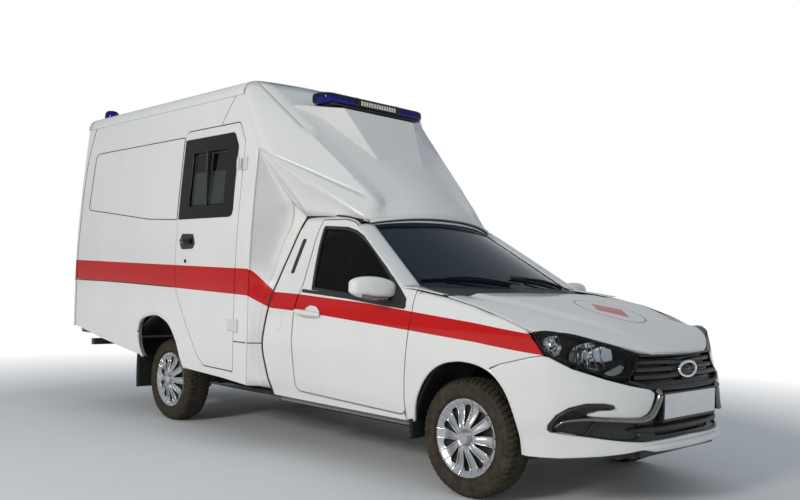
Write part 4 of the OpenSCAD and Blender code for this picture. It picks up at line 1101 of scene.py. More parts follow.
# headlights: housing, reflectors and bulbs behind a clear lens
for name, sg in SIDES:
    Ss = nose(sg)
    lens = rounded([(0.957, 0.858, 0.004), (0.9, 0.868, 0.1), (0.85, 0.866, 0.1), (0.695, 0.843, 0.2),
                    (0.51, 0.803, 0.2), (0.374, 0.764, 0.006), (0.397, 0.708, 0.05), (0.436, 0.666, 0.03),
                    (0.49, 0.65, 0.02), (0.59, 0.656, 0.1), (0.7, 0.692, 0.1), (0.785, 0.722, 0.1),
                    (0.845, 0.737, 0.06), (0.893, 0.76, 0.03), (0.93, 0.805, 0.05)], 0.01)
    panel(f"headlight_lens_{name}", Ss, lens, 0.004, 0.0025, M_LENS, out=sg, lift=-0.003)
    panel(f"headlight_rim_{name}", Ss, lens, 0.045, 0.003, M_GLOSSBLACK, holes=[offset(lens, 0.011)], out=sg,
          lift=-0.008)
    panel(f"headlight_house_{name}", Ss, offset(lens, 0.004), 0.004, 0.001, M_GLOSSBLACK, out=sg,
          lift=-0.062)

    # plan length, height, half width, half height and depth of each bowl
    for tag, sc, zc, hs, hz, depth in (("main", 0.655, 0.75, 0.118, 0.066, 0.045),
                                       ("rear", 0.857, 0.795, 0.046, 0.048, 0.03)):
        rows = []
        for k in (1.0, 0.93, 0.8, 0.62, 0.42, 0.22, 0.06):
            row = []
            for a in circle(40):
                ca, sa = squarish(a, 0.7, 0.7)
                z = zc + hz * k * sa - 0.1 * hs * k * ca
                row.append(at_skin(Ss, sc + hs * k * ca, z, 0.016 + depth * (1 - k * k))[0])
            rows.append(row)
        loft(f"reflector_{tag}_{name}", rows, M_CHROME, closed=True, flip=sg < 0)
        facets = 6 if tag == "main" else 3
        for j in range(1, facets):
            u = -1 + 2 * j / facets
            seg = []
            for v in np.linspace(-0.8, 0.8, 9):
                kk = min(1, math.hypot(u, v))
                seg.append(at_skin(Ss, sc + hs * u * 0.85, zc + hz * v * 0.85, 0.014 + depth * (1 - kk * kk))[0])
            seam(f"reflector_facet_{tag}_{j}_{name}", seg, 0.0022, M_CHROME, up=(1, 0, 0))
        p, n = at_skin(Ss, sc, zc, depth)
        revolve(f"bulb_{tag}_{name}", [(0.0, 0.0), (0.0, 0.014), (0.012, 0.014), (0.014, 0.009), (0.024, 0.008),
                                       (0.028, 0.0)], p, n, M_CHROME, "root", 24)
    # running-light wedge near the grille
    wedge = rounded([(0.598, 0.676), (0.495, 0.715), (0.47, 0.705), (0.5, 0.676), (0.56, 0.66)], 0.006)
    panel(f"running_light_{name}", Ss, wedge, 0.012, 0.003, M_LED, out=sg, lift=-0.014)
    brow = catmull([(0.93, 0.835), (0.8, 0.852), (0.62, 0.815), (0.42, 0.752)], 6)
    tube(f"headlight_brow_{name}", [at_skin(Ss, s, z, 0.016)[0] for s, z in brow], 0.008, M_GLOSSBLACK, steps=10)

# ---------- medical body ----------
body_half = spline([(0.3, B - 0.01), (0.6, B - 0.001), (0.95, B + 0.003), (1.25, B), (1.6, B - 0.018),
                    (1.95, B - 0.045), (2.15, B - 0.062), (2.3, B - 0.077)])


def wall(sg):
    def surf(x, z):
        return np.stack([x, sg * body_half(z), z], -1)
    return surf


def on_wall(sg, x, z, lift=0.0):
    """A point that stands off the body's side by lift."""
    return (x, sg * (float(body_half(z)) + lift), z)


REAR_ARCH = [(-3.117, 0.3), (-3.117, 0.462), (-3.15, 0.492), (-3.186, 0.563), (-3.19, 0.68), (-3.12, 0.752),
             (-2.937, 0.786), (-2.82, 0.768), (-2.715, 0.722), (-2.615, 0.616), (-2.548, 0.492), (-2.499, 0.427)]
arch_curve = [tuple(p) for p in catmull(REAR_ARCH[1:], 5)]
SIDE_DOOR = rounded([(-1.905, 0.46, 0.02), (-2.258, 0.469, 0.04), (-2.34, 0.53, 0.1), (-2.477, 0.708, 0.4),
                     (-2.6, 0.89, 0.3), (-2.652, 0.99, 0.1), (-2.672, 1.15, 0.3), (-2.672, 2.108, 0.05),
                     (-1.99, 2.108, 0.04), (-1.905, 1.971, 0.06)], 0.03)
SIDE_WIN = rounded([(-1.972, 1.472, 0.05), (-2.664, 1.472, 0.012), (-2.664, 2.048, 0.012), (-2.035, 2.048, 0.05),
                    (-1.972, 1.945, 0.05)], 0.04)
PANEL_LINE = rounded([(-4.15, 1.6, 0.04), (-3.1, 1.49, 1.2), (-2.684, 1.474, 0.01), (-2.684, 2.072, 0.01),
                      (-4.12, 2.072, 0.06)], 0.04)


BODY_LOOP = rounded([(BODY_FRONT, 0.386), (-2.008, 0.405), (-2.45, 0.424)] + arch_curve[::-1]
                    + [(-3.8, 0.548), (FACE_X + 0.012, 0.635), (FACE_X + 0.012, EAVE_Z), (-1.987, EAVE_Z),
                       (BODY_FRONT - 0.004, 1.912)], 0.006)
for name, sg in SIDES:
    holes = [offset(SIDE_DOOR, -0.006)] if sg < 0 else []
    panel(f"body_skin_{name}", wall(sg), BODY_LOOP, 0.035, 0.005, M_SHELL, M_GREY, holes=holes, out=-sg, grid=0.045,
          radius=lambda p: 0.0 if p[1] > EAVE_Z - 0.009 else 0.005)
    line = [on_wall(sg, x, z, 0.0004) for x, z in resample(ccw(PANEL_LINE), 0.03)]
    seam(f"panel_line_{name}", line, 0.0032, M_RUBBER, closed=True)
    low_line = [on_wall(sg, x, z, 0.0003) for x, z in ((-4.33, 1.013), (-3.6, 1.008), (-2.7, 0.99))]
    seam(f"body_seam_{name}", catmull(low_line, 8), 0.0034, M_RUBBER)
    step_line = [on_wall(sg, x, STEP_Z, 0.0006) for x in np.linspace(-1.895, BODY_FRONT - 0.01, 5)]
    seam(f"step_seam_{name}", step_line, 0.0034, M_RUBBER)
    corner = [(FACE_X + 0.15, EAVE_Z), (FACE_X + 0.118, 2.2), (FACE_X + 0.08, 2.06), (FACE_X + 0.06, 1.85),
              (FACE_X + 0.052, 1.2), (FACE_X + 0.05, 0.64)]
    seam(f"rear_corner_seam_{name}", [on_wall(sg, x, z, 0.0003) for x, z in catmull(corner, 6)], 0.0024, M_RUBBER)
    tube(f"rear_arch_lip_{name}", [on_wall(sg, x, z, -0.003) for x, z in arch_curve], 0.012, M_SHELL, steps=10)
    rows = []
    for x, z in catmull([(-3.2, 0.44), (-3.3, 0.56), (-3.27, 0.72), (-3.12, 0.8), (-2.93, 0.815), (-2.7, 0.76),
                         (-2.56, 0.63), (-2.5, 0.44)], 5):
        rows.append([(x, sg * y, z) for y in (0.6, 0.7, 0.8, B - 0.045)])
    loft(f"rear_wheel_house_{name}", rows, M_BLACK, flip=sg > 0, thick=0.003)

# side door
Wr = wall(-1)
panel("side_door_skin", Wr, SIDE_DOOR, 0.042, 0.005, M_SHELL, M_DOORIN, "side_door", holes=[offset(SIDE_WIN, 0.002)],
      grid=0.045)
SIDE_PANES = rect(-2.53, -2.095, 1.56, 1.94, 0.02)
panel("side_window_frame", Wr, SIDE_WIN, 0.012, 0.004, M_GLOSSBLACK, None, "side_door", holes=[SIDE_PANES],
      out=1, lift=0.003)
panel("side_window_glass", Wr, offset(SIDE_PANES, -0.006), 0.004, 0.001, M_PRIVACY, None, "side_door",
      lift=-0.014, grid=0.1)
box("window_divider", (-2.326, -2.304), (-B + 0.012, -B + 0.042), (1.56, 1.94), M_BLACK, "side_door", 0.004)
for tag, x0, x1 in (("rear", -2.512, -2.334), ("front", -2.296, -2.112)):
    panel(f"frosted_{tag}", Wr, rect(x0, x1, 1.575, 1.8, 0.012), 0.003, 0.001, M_FROST, None, "side_door",
          lift=-0.012, grid=0.1)
    rim = rect(x0 - 0.008, x1 + 0.008, 1.567, 1.932, 0.016)
    panel(f"pane_rim_{tag}", Wr, rim, 0.01, 0.003, M_BLACK, None, "side_door", holes=[offset(rim, 0.01)], lift=-0.008)
hexa = rounded([(-2.622, 1.312), (-2.585, 1.258), (-2.44, 1.262), (-2.412, 1.3), (-2.445, 1.366),
                (-2.59, 1.37)], 0.022)
panel("side_handle_base", Wr, hexa, 0.01, 0.006, M_BLACK, None, "side_door", lift=0.006)
grip_y = -float(body_half(1.315))
grip = [(-2.585, grip_y - 0.01, 1.318), (-2.52, grip_y - 0.022, 1.316), (-2.45, grip_y - 0.01, 1.314)]
tube("side_handle_grip", catmull(grip, 6), 0.013, M_GLOSSBLACK, "side_door", 12, 1.5)
revolve("side_lock", [(0, 0.013), (0.004, 0.013), (0.006, 0.01), (0.006, 0.0)],
        on_wall(-1, -2.53, 1.176), (0, -1, 0), M_GLOSSBLACK, "side_door", 28)
for i, z in enumerate((1.82, 0.76)):
    y = on_wall(-1, 0, z)[1]
    box(f"hinge_leaf_{i}", (-1.962, -1.897), (y - 0.013, y + 0.002), (z - 0.034, z + 0.034), M_HINGE, "side_door")
    box(f"hinge_plate_{i}", (-1.889, -1.845), (y - 0.013, y + 0.002), (z - 0.042, z + 0.042), M_HINGE)
    tube(f"hinge_knuckle_{i}", [(-1.893, -0.939, z - 0.04), (-1.893, -0.939, z + 0.04)], 0.0075, M_HINGE, steps=16,
         up=(1, 0, 0))

# between body and cab: a collar strip, and a recess wall behind it, over level sections
collar_out = spline([(0.33, -1.612), (0.483, -1.655), (0.655, -1.69), (0.892, -1.656), (1.04, -1.643), (1.1, -1.652),
                     (1.18, -1.676), (1.3, -1.688), (1.432, -1.684), (1.568, -1.65)])
joint_x = spline([(z, x) for x, z in JOINT])
recess = spline([(0.95, 0.0), (1.1, 0.006), (1.16, 0.026), (1.24, 0.045), (1.568, 0.05), (1.7, 0.044), (1.906, 0.0)])
APEX = np.array((-1.738, 0.887, 1.906))
K_TOP = np.array((-1.65, 0.662, 1.566))
J_TOP = np.array((-1.556, 0.622, 1.484))
TIP = np.array((-1.015, 0.557, 1.436))
SPIKE = np.array((-1.04, 0.462, 1.566))
CREASE = np.array((-1.975, 0.752, 2.378))
SHOULDER = np.array((-1.987, 0.853, EAVE_Z))
for name, sg in SIDES:
    def mir(p):
        return (p[0], sg * p[1], p[2])

    def recess_row(e1, c, d, more=0.0):
        """Body edge, two points of the recess, d deep, and the collar's edge."""
        return [e1, e1 * 0.8 + c * 0.2 + np.array((more - 0.08 * d, -0.42 * d, 0)),
                e1 * 0.25 + c * 0.75 + np.array((-0.42 * d, -0.34 * d, 0)), c]

    def collar_row(z):
        """Body edge, recess, collar and joint at one level."""
        e1 = np.array((BODY_FRONT, float(body_half(z)), z))
        zj = min(z, 1.462)
        f = min(1.0, max(0.0, (z - 1.4) / (K_TOP[2] - 1.4)))
        jx = float(joint_x(zj)) - 0.01
        jz = np.array((jx, skin_y(jx, zj) + 0.002, z)) * (1 - f) + J_TOP * f
        cx = min(float(collar_out(z)), jx - 0.004)
        c = np.array((cx, skin_y(cx, min(z, 1.45)) + 0.004, z)) * (1 - f) + K_TOP * f
        k = float(smoothstep(1.04, 1.16, z))
        c = c * k + (1 - k) * (e1 * 0.25 + jz * 0.75)
        c2 = c * 0.5 + jz * 0.5 + np.array((0.0, 0.008 * k, 0))
        row = recess_row(e1, c, float(recess(z)) * k, 0.004 * (1 - k))
        return [mir(p) for p in row + [c * 0.9 + c2 * 0.1 + np.array((0, 0.003 * k, 0)), c2, jz]]

    zs = np.concatenate([np.linspace(0.386, 1.02, 14), np.linspace(1.05, K_TOP[2], 28)])
    loft(f"body_collar_{name}", [list(catmull(collar_row(z)[3:], 3)) for z in zs], M_SHELL, flip=sg > 0, thick=0.004)
    seam(f"collar_seam_{name}", catmull(collar_row(STEP_Z), 4) + (0.0008, sg * 0.001, 0), 0.0032, M_RUBBER)
    edge = [on_wall(sg, BODY_FRONT, z) for z in np.linspace(0.39, 1.9, 30)]
    tube(f"body_front_edge_{name}", edge, 0.006, M_SHELL, steps=10, up=(1, 0, 0))
    # the recess wall goes on up to the apex, and the soffit starts there
    rows = [list(catmull(collar_row(z)[:4], 4)) for z in zs[:-1]]
    for z in np.linspace(K_TOP[2], APEX[2], 12):
        e1 = np.array((BODY_FRONT, float(body_half(z)), z))
        f = (z - K_TOP[2]) / (APEX[2] - K_TOP[2])
        row = recess_row(e1, K_TOP * (1 - f) + APEX * f, float(recess(z)))
        rows.append([mir(p) for p in catmull(row, 4)])
    loft(f"recess_wall_{name}", rows, M_SHELL, flip=sg > 0, thick=0.004)
    soffit = []
    for f in np.linspace(0, 1, 14):
        edge_p = APEX * (1 - f) + TIP * f
        g = f * 2.6
        if g < 1:
            base = APEX + (J_TOP - APEX) * g
        else:
            h = (g - 1) / 1.6
            base = J_TOP * (1 - h) + TIP * h
            base = base + np.array((0, 0.02, 0.012)) * math.sin(math.pi * h)
        sag = np.array((0, -0.01, 0.012))
        soffit.append([mir(edge_p * (1 - s) + base * s + sag * math.sin(math.pi * s) * math.sin(math.pi * f))
                       for s in np.linspace(0, 1, 6)])
    loft(f"fairing_soffit_{name}", soffit, M_SHELLW, flip=sg < 0, thick=0.004)
    tri = [[mir(APEX * (1 - f) + K_TOP * f + (J_TOP - K_TOP) * f * s) for s in np.linspace(0, 1, 5)]
           for f in np.linspace(0, 1, 8)]
    loft(f"soffit_web_{name}", tri, M_SHELLW, flip=sg > 0, thick=0.004)

# roof section, shared by the roof and the fairing's top edge
roof_sec = catmull([(B - 0.077, EAVE_Z), (B - 0.084, 2.335), (B - 0.108, 2.372), (B - 0.16, 2.397), (B - 0.26, 2.41),
                    (0.4, 2.424), (0.0, 2.43)], 5)


def roof_z(y):
    return float(np.interp(abs(y), roof_sec[::-1, 0], roof_sec[::-1, 1]))


# fairing skin: front slope between the creases, and the two facets of each side
LIP_MID = np.array((-0.9, 0.0, 1.487))
CREASE[2] = roof_z(CREASE[1]) - 0.001
FAIR_X = -1.99
SPIKE_AT = 0.8     # how far down the crease the spike is
LIP_POWER = 2.2     # how the lip and the top edge bend towards the sides
pts, faces, patch = [], [], []


def add_patch(rows, tag):
    """A grid of points as faces that carry the number of their facet."""
    n, m = len(rows), len(rows[0])
    base = len(pts)
    pts.extend(tuple(p) for row in rows for p in row)
    for a in range(n - 1):
        for b in range(m - 1):
            q = [base + a * m + b, base + (a + 1) * m + b, base + (a + 1) * m + b + 1, base + a * m + b + 1]
            faces.append(q)
            patch.append(tag)


def crease_at(f):
    """The front slope's side edge: crease down to the spike, then on to the tip."""
    if f < SPIKE_AT:
        return CREASE + (SPIKE - CREASE) * (f / SPIKE_AT)
    return SPIKE + (TIP - SPIKE) * ((f - SPIKE_AT) / 0.2)


nrow, ncol = 20, 33
rows = []
for i in range(nrow + 1):
    f = i / nrow
    side_p = crease_at(f)
    row = []
    for u in np.concatenate([[-1], np.linspace(-0.8, 0.8, ncol - 2), [1]]):
        k = abs(u) ** LIP_POWER
        y = side_p[1] * u
        top = np.array((FAIR_X + (CREASE[0] - FAIR_X) * k, y, roof_z(y)))
        mid = LIP_MID * (1 - k) + TIP * k
        belly = math.sin(math.pi * f) * 0.02 * (1 - k)
        edge_mix = k ** 1.5
        line = top * (1 - f) + np.array((mid[0], y, mid[2])) * f + np.array((belly, 0, belly))
        side_line = np.array((side_p[0], y, side_p[2]))
        row.append(line * (1 - edge_mix) + side_line * edge_mix)
    rows.append(row)
add_patch(rows, 0)
split = round(SPIKE_AT * nrow)
for tag, sg in ((1, 1), (2, -1)):
    flipy = np.array((1, sg, 1))
    rows = []
    for i in range(split + 1):
        t = i / split
        a = crease_at(SPIKE_AT * t)
        zb = SHOULDER[2] + (APEX[2] - SHOULDER[2]) * t
        xb = SHOULDER[0] + (BODY_FRONT - 0.004 - SHOULDER[0]) * t
        b = np.array((xb, float(body_half(zb)), zb))
        row = []
        for v in np.linspace(0, 1, 7):
            yr = CREASE[1] + (SHOULDER[1] - CREASE[1]) * v
            curve = roof_z(yr) - (CREASE[2] + (SHOULDER[2] - CREASE[2]) * v)
            row.append((a * (1 - v) + b * v + np.array((0, 0, curve * (1 - t) ** 3))) * flipy)
        rows.append(row)
    add_patch(rows, tag)
    foot = rows[-1][-1] * flipy
    rows = [[(foot * (1 - v) + (SPIKE * (1 - t) + TIP * t) * v) * flipy for v in np.linspace(0, 1, 6)]
            for t in np.linspace(0, 1, nrow - split + 1)]
    add_patch(rows, tag + 2)
o = finish_mesh("fairing_skin", pts, faces, None, [M_SHELLW], [0] * len(faces))
with editing(o) as bm:
    lay = bm.faces.layers.int.new("patch")
    for face, tag in zip(bm.faces, patch):
        face[lay] = tag
    bmesh.ops.remove_doubles(bm, verts=bm.verts, dist=2e-4)
    bmesh.ops.recalc_face_normals(bm, faces=bm.faces)
    wt = bm.edges.layers.float.new("bevel_weight_edge")
    for e in bm.edges:
        tags = sorted(f[lay] for f in e.link_faces)
        if len(tags) == 2 and tags[0] != tags[1]:
            if tags in ([0, 3], [0, 4]):  # under the spike: rounded
                e[wt] = 1.0
            elif tags[0] == 0:  # the crease: rounded near the spike, sharp above
                rise = max(0.0, (e.verts[0].co.z + e.verts[1].co.z) / 2 - SPIKE[2])
                e[wt] = 0.75 * max(0.0, 1 - rise / 0.16) ** 2
                e.smooth = bool(rise < 0.12)
            else:
                e[wt] = 0.0
                e.smooth = tags in ([1, 3], [2, 4])
bevel(o, 0.075, 6, 10).modifiers["bevel"].limit_method = "WEIGHT"
md = o.modifiers.new("wall", "SOLIDIFY")
md.thickness, md.offset = 0.006, -1
# the wedge that carries the light bar
rim = [(-1.775, 0.602, 2.246), (-1.56, 0.334, 2.24), (-1.296, 0.205, 1.828), (-1.88, 0.48, 2.15),
       (-1.385, 0.2, 1.79)]
wedge_faces = [(0, 1, 6, 5), (1, 2, 7, 6), (0, 3, 4, 2, 1), (5, 6, 7, 9, 8), (3, 8, 9, 4), (4, 9, 7, 2), (0, 5, 8, 3)]
solid("light_bar_wedge", rim + [(x, -y, z) for x, y, z in rim], wedge_faces, M_SHELLW, width=0.012)
# lip over the windshield: rolled edge, gasket, and the strip down to the glass
lip_curve = []
for u in np.linspace(-1, 1, 41):
    k = abs(u) ** LIP_POWER
    lip_curve.append(np.array((LIP_MID[0] * (1 - k) + TIP[0] * k, TIP[1] * u, LIP_MID[2] * (1 - k) + TIP[2] * k)))
tube("fairing_lip", lip_curve, 0.009, M_SHELLW, steps=10)
tube("lip_gasket", [p + np.array((-0.008, 0, -0.012)) for p in lip_curve], 0.006, M_RUBBER, steps=10)
head = []
for p in lip_curve:
    a = p + np.array((-0.012, 0, -0.017))
    y = p[1] / TIP[1]
    b = np.array(pane_point(y * HALF_HIGH, ws_len - DROP_HIGH * (1 - y * y) + 0.003, -0.006))
    head.append([a * (1 - t) + b * t + np.array((0.004, 0, 0.004)) * math.sin(math.pi * t)
                 for t in np.linspace(0, 1, 6)])
loft("roof_header", head, M_WHITE, thick=0.004)
for name, sg in SIDES:
    line = [(x, sg * (skin_y(x, z) + 0.004 - tuck), z + 0.003) for x, z, tuck in
            ((-1.574, 1.4, 0), (-1.568, 1.462, 0), (-1.545, 1.476, 0), (-1.404, 1.479, 0), (-1.3, 1.476, 0),
             (-1.17, 1.466, 0), (-1.1, 1.454, 0.012), (-1.05, 1.443, 0.045))]
    tube(f"roof_gasket_{name}", catmull(line, 5), 0.0055, M_RUBBER, steps=10)

# roof and rear
sec = [*roof_sec] + [(-y, z) for y, z in roof_sec[-2::-1]]
rows = [[(x, y, z) for y, z in sec] for x in np.linspace(FACE_X + 0.012, -1.986, 30)]
loft("roof_skin", rows, M_SHELLW, flip=True, thick=0.008, sharp=60)
for name, sg in SIDES:
    line = [on_wall(sg, x, z) for x, z in ((-2.205, 2.115), (-2.175, 2.17), (-2.115, 2.25))]
    line += [(-2.075, sg * y, z + 0.0004) for y, z in roof_sec]
    seam(f"roof_seam_{name}", line, 0.0022, M_RUBBER, up=(1, 0, 0))

# floor of the medical body, cut and boxed in round the rear wheels
FLOOR_TOP, WELL_R, WELL_Y, WELL_Z = 0.6, 0.472, 0.574, 0.3
side_y = B - 0.056
chord = math.sqrt(WELL_R ** 2 - (FLOOR_TOP - WELL_Z) ** 2)
box("floor_pan", (FACE_X + 0.046, BODY_FRONT - 0.06), (0.012 - WELL_Y, WELL_Y - 0.012), (0.584, FLOOR_TOP), M_FLOORM,
    width=0.002)
box("floor_under", (FACE_X + 0.06, BODY_FRONT - 0.07), (-WELL_Y, WELL_Y), (0.566, 0.583), M_BLACK, width=0.002)
for name, sg in SIDES:
    ys = sorted((sg * WELL_Y, sg * side_y))
    for tag, x0, x1 in (("aft", FACE_X + 0.046, REAR_AXLE - chord), ("fore", REAR_AXLE + chord, BODY_FRONT - 0.06)):
        box(f"floor_{tag}_{name}", (x0, x1), ys, (0.584, FLOOR_TOP), M_FLOORM, width=0.002)
        box(f"floor_{tag}_under_{name}", (x0 + 0.01, x1 - 0.01), ys, (0.57, 0.583), M_BLACK, width=0.002)
    low_a = math.asin((FLOOR_TOP - WELL_Z) / WELL_R)
    for tag, grow, mat in (("well", 0.0, M_BLACK), ("box", 0.012, M_FLOORM)):
        rows, wall_rows = [], []
        for a in np.linspace(low_a, math.pi - low_a, 29):
            x, z = REAR_AXLE + (WELL_R + grow) * math.cos(a), WELL_Z + (WELL_R + grow) * math.sin(a)
            rows.append([(x, sg * y, z) for y in np.linspace(WELL_Y - grow, side_y, 5)])
            wall_rows.append([(x, sg * (WELL_Y - grow), z * (1 - v) + 0.566 * v) for v in np.linspace(0, 1, 4)])
        loft(f"wheel_{tag}_{name}", rows, mat, thick=0.003, flip=sg > 0)
        loft(f"wheel_{tag}_wall_{name}", wall_rows, mat, thick=0.003)

# wall between the body and the cab, with a window, seen from inside
def inner_face(y, z):
    return np.stack([np.full_like(y, INNER_X) + 0 * z, y, z], -1)


inner_half = [(float(body_half(z)) - 0.06, z) for z in np.linspace(0.4, 1.88, 10)]
inner_loop = inner_half + [(-y, z) for y, z in inner_half[::-1]]
inner_win = rect(-0.32, 0.32, 1.08, 1.4, 0.04)
panel("inner_front_wall", inner_face, inner_loop, 0.035, 0.003, M_GREY, M_GREY, holes=[inner_win], grid=0.08)
panel("inner_window", inner_face, offset(inner_win, -0.006), 0.005, 0.001, M_PRIVACY, lift=-0.015, grid=0.1)
box("inner_window_rail", (INNER_X, INNER_X + 0.01), (-0.33, 0.33), (1.058, 1.076), M_BLACK, width=0.003)

# ---------- rear frame, doors and lamps ----------
def rear_face(y, z):
    return np.stack([np.full_like(y, FACE_X) + 0 * z, y, z], -1)


REAR_HALF = B - 0.15
frame_out = [(float(body_half(z)) - 0.004, z) for z in np.linspace(0.625, EAVE_Z, 12)]
frame_out += [(y - 0.004, z) for y, z in roof_sec[2:]]
frame_loop = frame_out + [(-y, z) for y, z in frame_out[::-1]]
door_way = rect(-REAR_HALF - 0.006, REAR_HALF + 0.006, 0.634, 2.186, 0.03)
HINGE_X = (FACE_X - 0.013, FACE_X + 0.001)
panel("rear_frame_skin", rear_face, frame_loop, 0.04, 0.008, M_SHELL, M_GREY, holes=[door_way], out=-1, grid=0.06)
for name, sg in SIDES:
    d = f"rear_door_{name}"
    y0, y1 = sorted((sg * 0.003, sg * REAR_HALF))
    leaf = rect(y0, y1, 0.64, 2.18, 0.022)
    w0, w1 = sorted((sg * 0.15, sg * (REAR_HALF - 0.16)))
    win = rect(w0, w1, 1.42, 1.98, 0.05)
    panel(f"rear_leaf_{name}", rear_face, leaf, 0.043, 0.006, M_SHELL, M_DOORIN, d, holes=[win], out=-1, grid=0.06)
    panel(f"rear_window_frame_{name}", rear_face, offset(win, -0.03), 0.008, 0.003, M_GLOSSBLACK,
          None, d, holes=[offset(win, 0.014)], out=-1, lift=0.003)
    panel(f"rear_window_{name}", rear_face, offset(win, 0.002), 0.004, 0.001, M_PRIVACY, None, d, out=-1,
          lift=-0.008, grid=0.1)
    press = [(FACE_X + 0.0004, y, z) for y, z in resample(rect(y0 + 0.09, y1 - 0.09, 0.74, 1.28, 0.05), 0.03)]
    seam(f"rear_press_{name}", press, 0.0028, M_SHELL, d, (1, 0, 0), True)
    for i, z in enumerate((0.86, 1.4, 2.0)):
        hy = sg * (REAR_HALF + 0.004)
        a, b = sorted((hy - sg * 0.06, hy - sg * 0.003))
        box(f"rear_hinge_leaf_{name}_{i}", HINGE_X, (a, b), (z - 0.012, z + 0.012), M_HINGE, d, 0.003)
        a, b = sorted((hy, hy + sg * 0.026))
        for j in (-0.028, 0.028):
            box(f"rear_hinge_plate_{name}_{i}_{'a' if j < 0 else 'b'}", HINGE_X, (a, b),
                (z + j - 0.012, z + j + 0.012), M_HINGE, width=0.003)
        tube(f"rear_hinge_pin_{name}_{i}", [(FACE_X - 0.008, hy, z - 0.041), (FACE_X - 0.008, hy, z + 0.041)], 0.0072,
             M_HINGE, steps=14, up=(1, 0, 0))
    a, b = sorted((sg * (REAR_HALF + 0.018), sg * (REAR_HALF + 0.082)))
    for j, (z0, z1, m) in enumerate(((1.0, 1.09, M_REDLAMP), (1.094, 1.15, M_LED), (1.154, 1.215, M_AMBER),
                                     (1.219, 1.3, M_REDLAMP))):
        panel(f"tail_lamp_{name}_{j}", rear_face, rect(a, b, z0, z1, 0.012), 0.012, 0.004, m, out=-1, lift=0.01,
              grid=0.015)
    base = rect(a - 0.006, b + 0.006, 0.994, 1.306, 0.016)
    panel(f"tail_lamp_base_{name}", rear_face, base, 0.008, 0.003, M_BLACK, out=-1, lift=0.004, grid=0.03)
latch = [(FACE_X - 0.002, -0.06, 1.15), (FACE_X - 0.013, -0.058, 1.135), (FACE_X - 0.013, -0.056, 1.03),
         (FACE_X - 0.002, -0.054, 1.015)]
tube("rear_latch", catmull(latch, 6), 0.009, M_GLOSSBLACK, "rear_door_right", up=(0, 1, 0))

# ---------- light bar and beacon ----------
BAR_Z0, BAR_Z1, BAR_X0, BAR_X1, BAR_Y = 2.263, 2.341, -1.778, -1.576, 0.462


def bar_section(k, y, grow=0.0):
    """One closed section of the light bar: flat below, rounded above."""
    cx, cz = (BAR_X0 + BAR_X1) / 2, (BAR_Z0 + BAR_Z1) / 2
    hx, hz = (BAR_X1 - BAR_X0) / 2 * k + grow, (BAR_Z1 - BAR_Z0) / 2 * (0.6 + 0.4 * k) + grow
    corners = [squarish(a, 0.45, 0.55) for a in circle(36)]
    return [(cx + hx * ca, y, cz + hz * sa) for ca, sa in corners]


def bar_part(name, y0, y1, mat, taper=False, grow=0.0):
    """A length of the light bar; a taper draws its outer end in."""
    rows = []
    for k in np.linspace(0, 1, 14):
        e = math.sqrt(max(0.0, 1 - ((k - 0.75) / 0.25) ** 2 * 0.55)) if taper and k > 0.75 else 1.0
        rows.append(bar_section(e, y0 + (y1 - y0) * k, grow))
    loft(name, rows, mat, closed=True, caps=True, hull=True, sharp=50)


bar_part("bar_centre_cover", -0.185, 0.185, M_GLOSSBLACK)
for name, sg in SIDES:
    bar_part(f"bar_lens_{name}", sg * 0.19, sg * BAR_Y, M_BLUE, taper=True)
    bar_part(f"bar_joint_{name}", sg * 0.183, sg * 0.192, M_BLACK, grow=0.0015)
    for i in range(4):
        yc = sg * (0.226 + 0.056 * i)
        for j, xx in enumerate((BAR_X1 - 0.05, BAR_X0 + 0.05)):
            box(f"bar_module_{name}_{i}_{j}", (xx - 0.024, xx + 0.024), (yc - 0.021, yc + 0.021), (2.278, 2.322),
                M_BLUEIN, width=0.006)
    box(f"bar_foot_{name}", (-1.722, -1.658), sorted((sg * 0.25, sg * 0.29)), (2.24, 2.264), M_BLACK, width=0.006)
for i in range(14):
    yc = -0.156 + 0.024 * i
    box(f"bar_led_{i}", (BAR_X1 - 0.01, BAR_X1 + 0.002), (yc - 0.009, yc + 0.009), (2.284, 2.316), M_LED, width=0.003)
base_sec = ((BAR_X0 + 0.012, 2.266), (BAR_X0 + 0.02, 2.257), (BAR_X1 - 0.02, 2.257), (BAR_X1 - 0.012, 2.266))
base_rows = [[(x, y, z) for x, z in base_sec] for y in np.linspace(-0.425, 0.425, 20)]
loft("bar_base", base_rows, M_BLACK, flip=True, thick=0.003)
BEACON = np.array((FACE_X + 0.09, -0.695, 2.386))
revolve("beacon_base", [(0.0, 0.068), (0.022, 0.067), (0.03, 0.06), (0.03, 0.0)], BEACON, (0, 0, 1), M_BLACK,
        steps=48)
revolve("beacon_lens", [(0.028, 0.058), (0.05, 0.06), (0.078, 0.056), (0.094, 0.042), (0.1, 0.02), (0.101, 0.0)],
        BEACON, (0, 0, 1), M_BLUE, "root", 48, 60)
revolve("beacon_inner", [(0.028, 0.0), (0.028, 0.03), (0.07, 0.026), (0.078, 0.0)], BEACON, (0, 0, 1), M_BLUEIN,
        steps=20)

# ---------- wheels ----------
TYRE_R = 0.3
TREAD_DEPTH, SHOULDER_DEPTH, BLOCKS, TREAD_STEPS = 0.0075, 0.0085, 58, 288
CENTRE_Y, SHOULDER_Y = 0.022, 0.06              # where the centre rib ends and the shoulder begins
GROOVES, GROOVE_HALF = (0.022, 0.052), 0.0042   # the grooves that run round the tyre


def notch(position, half, slope):
    """How deep a groove is at a place along the tread, 0 to 1; grooves repeat at every whole number."""
    return max(0.0, min(1.0, (half - abs((position % 1) - 0.5)) / slope))


TREAD = [(-0.0925, 0.232), (-0.09, 0.262), (-0.084, 0.281), (-0.074, 0.291), (-0.066, 0.2955), (-0.056, 0.2975),
         (-0.044, 0.299), (-0.03, 0.2998), (-0.015, 0.3), (0.0, 0.3)]


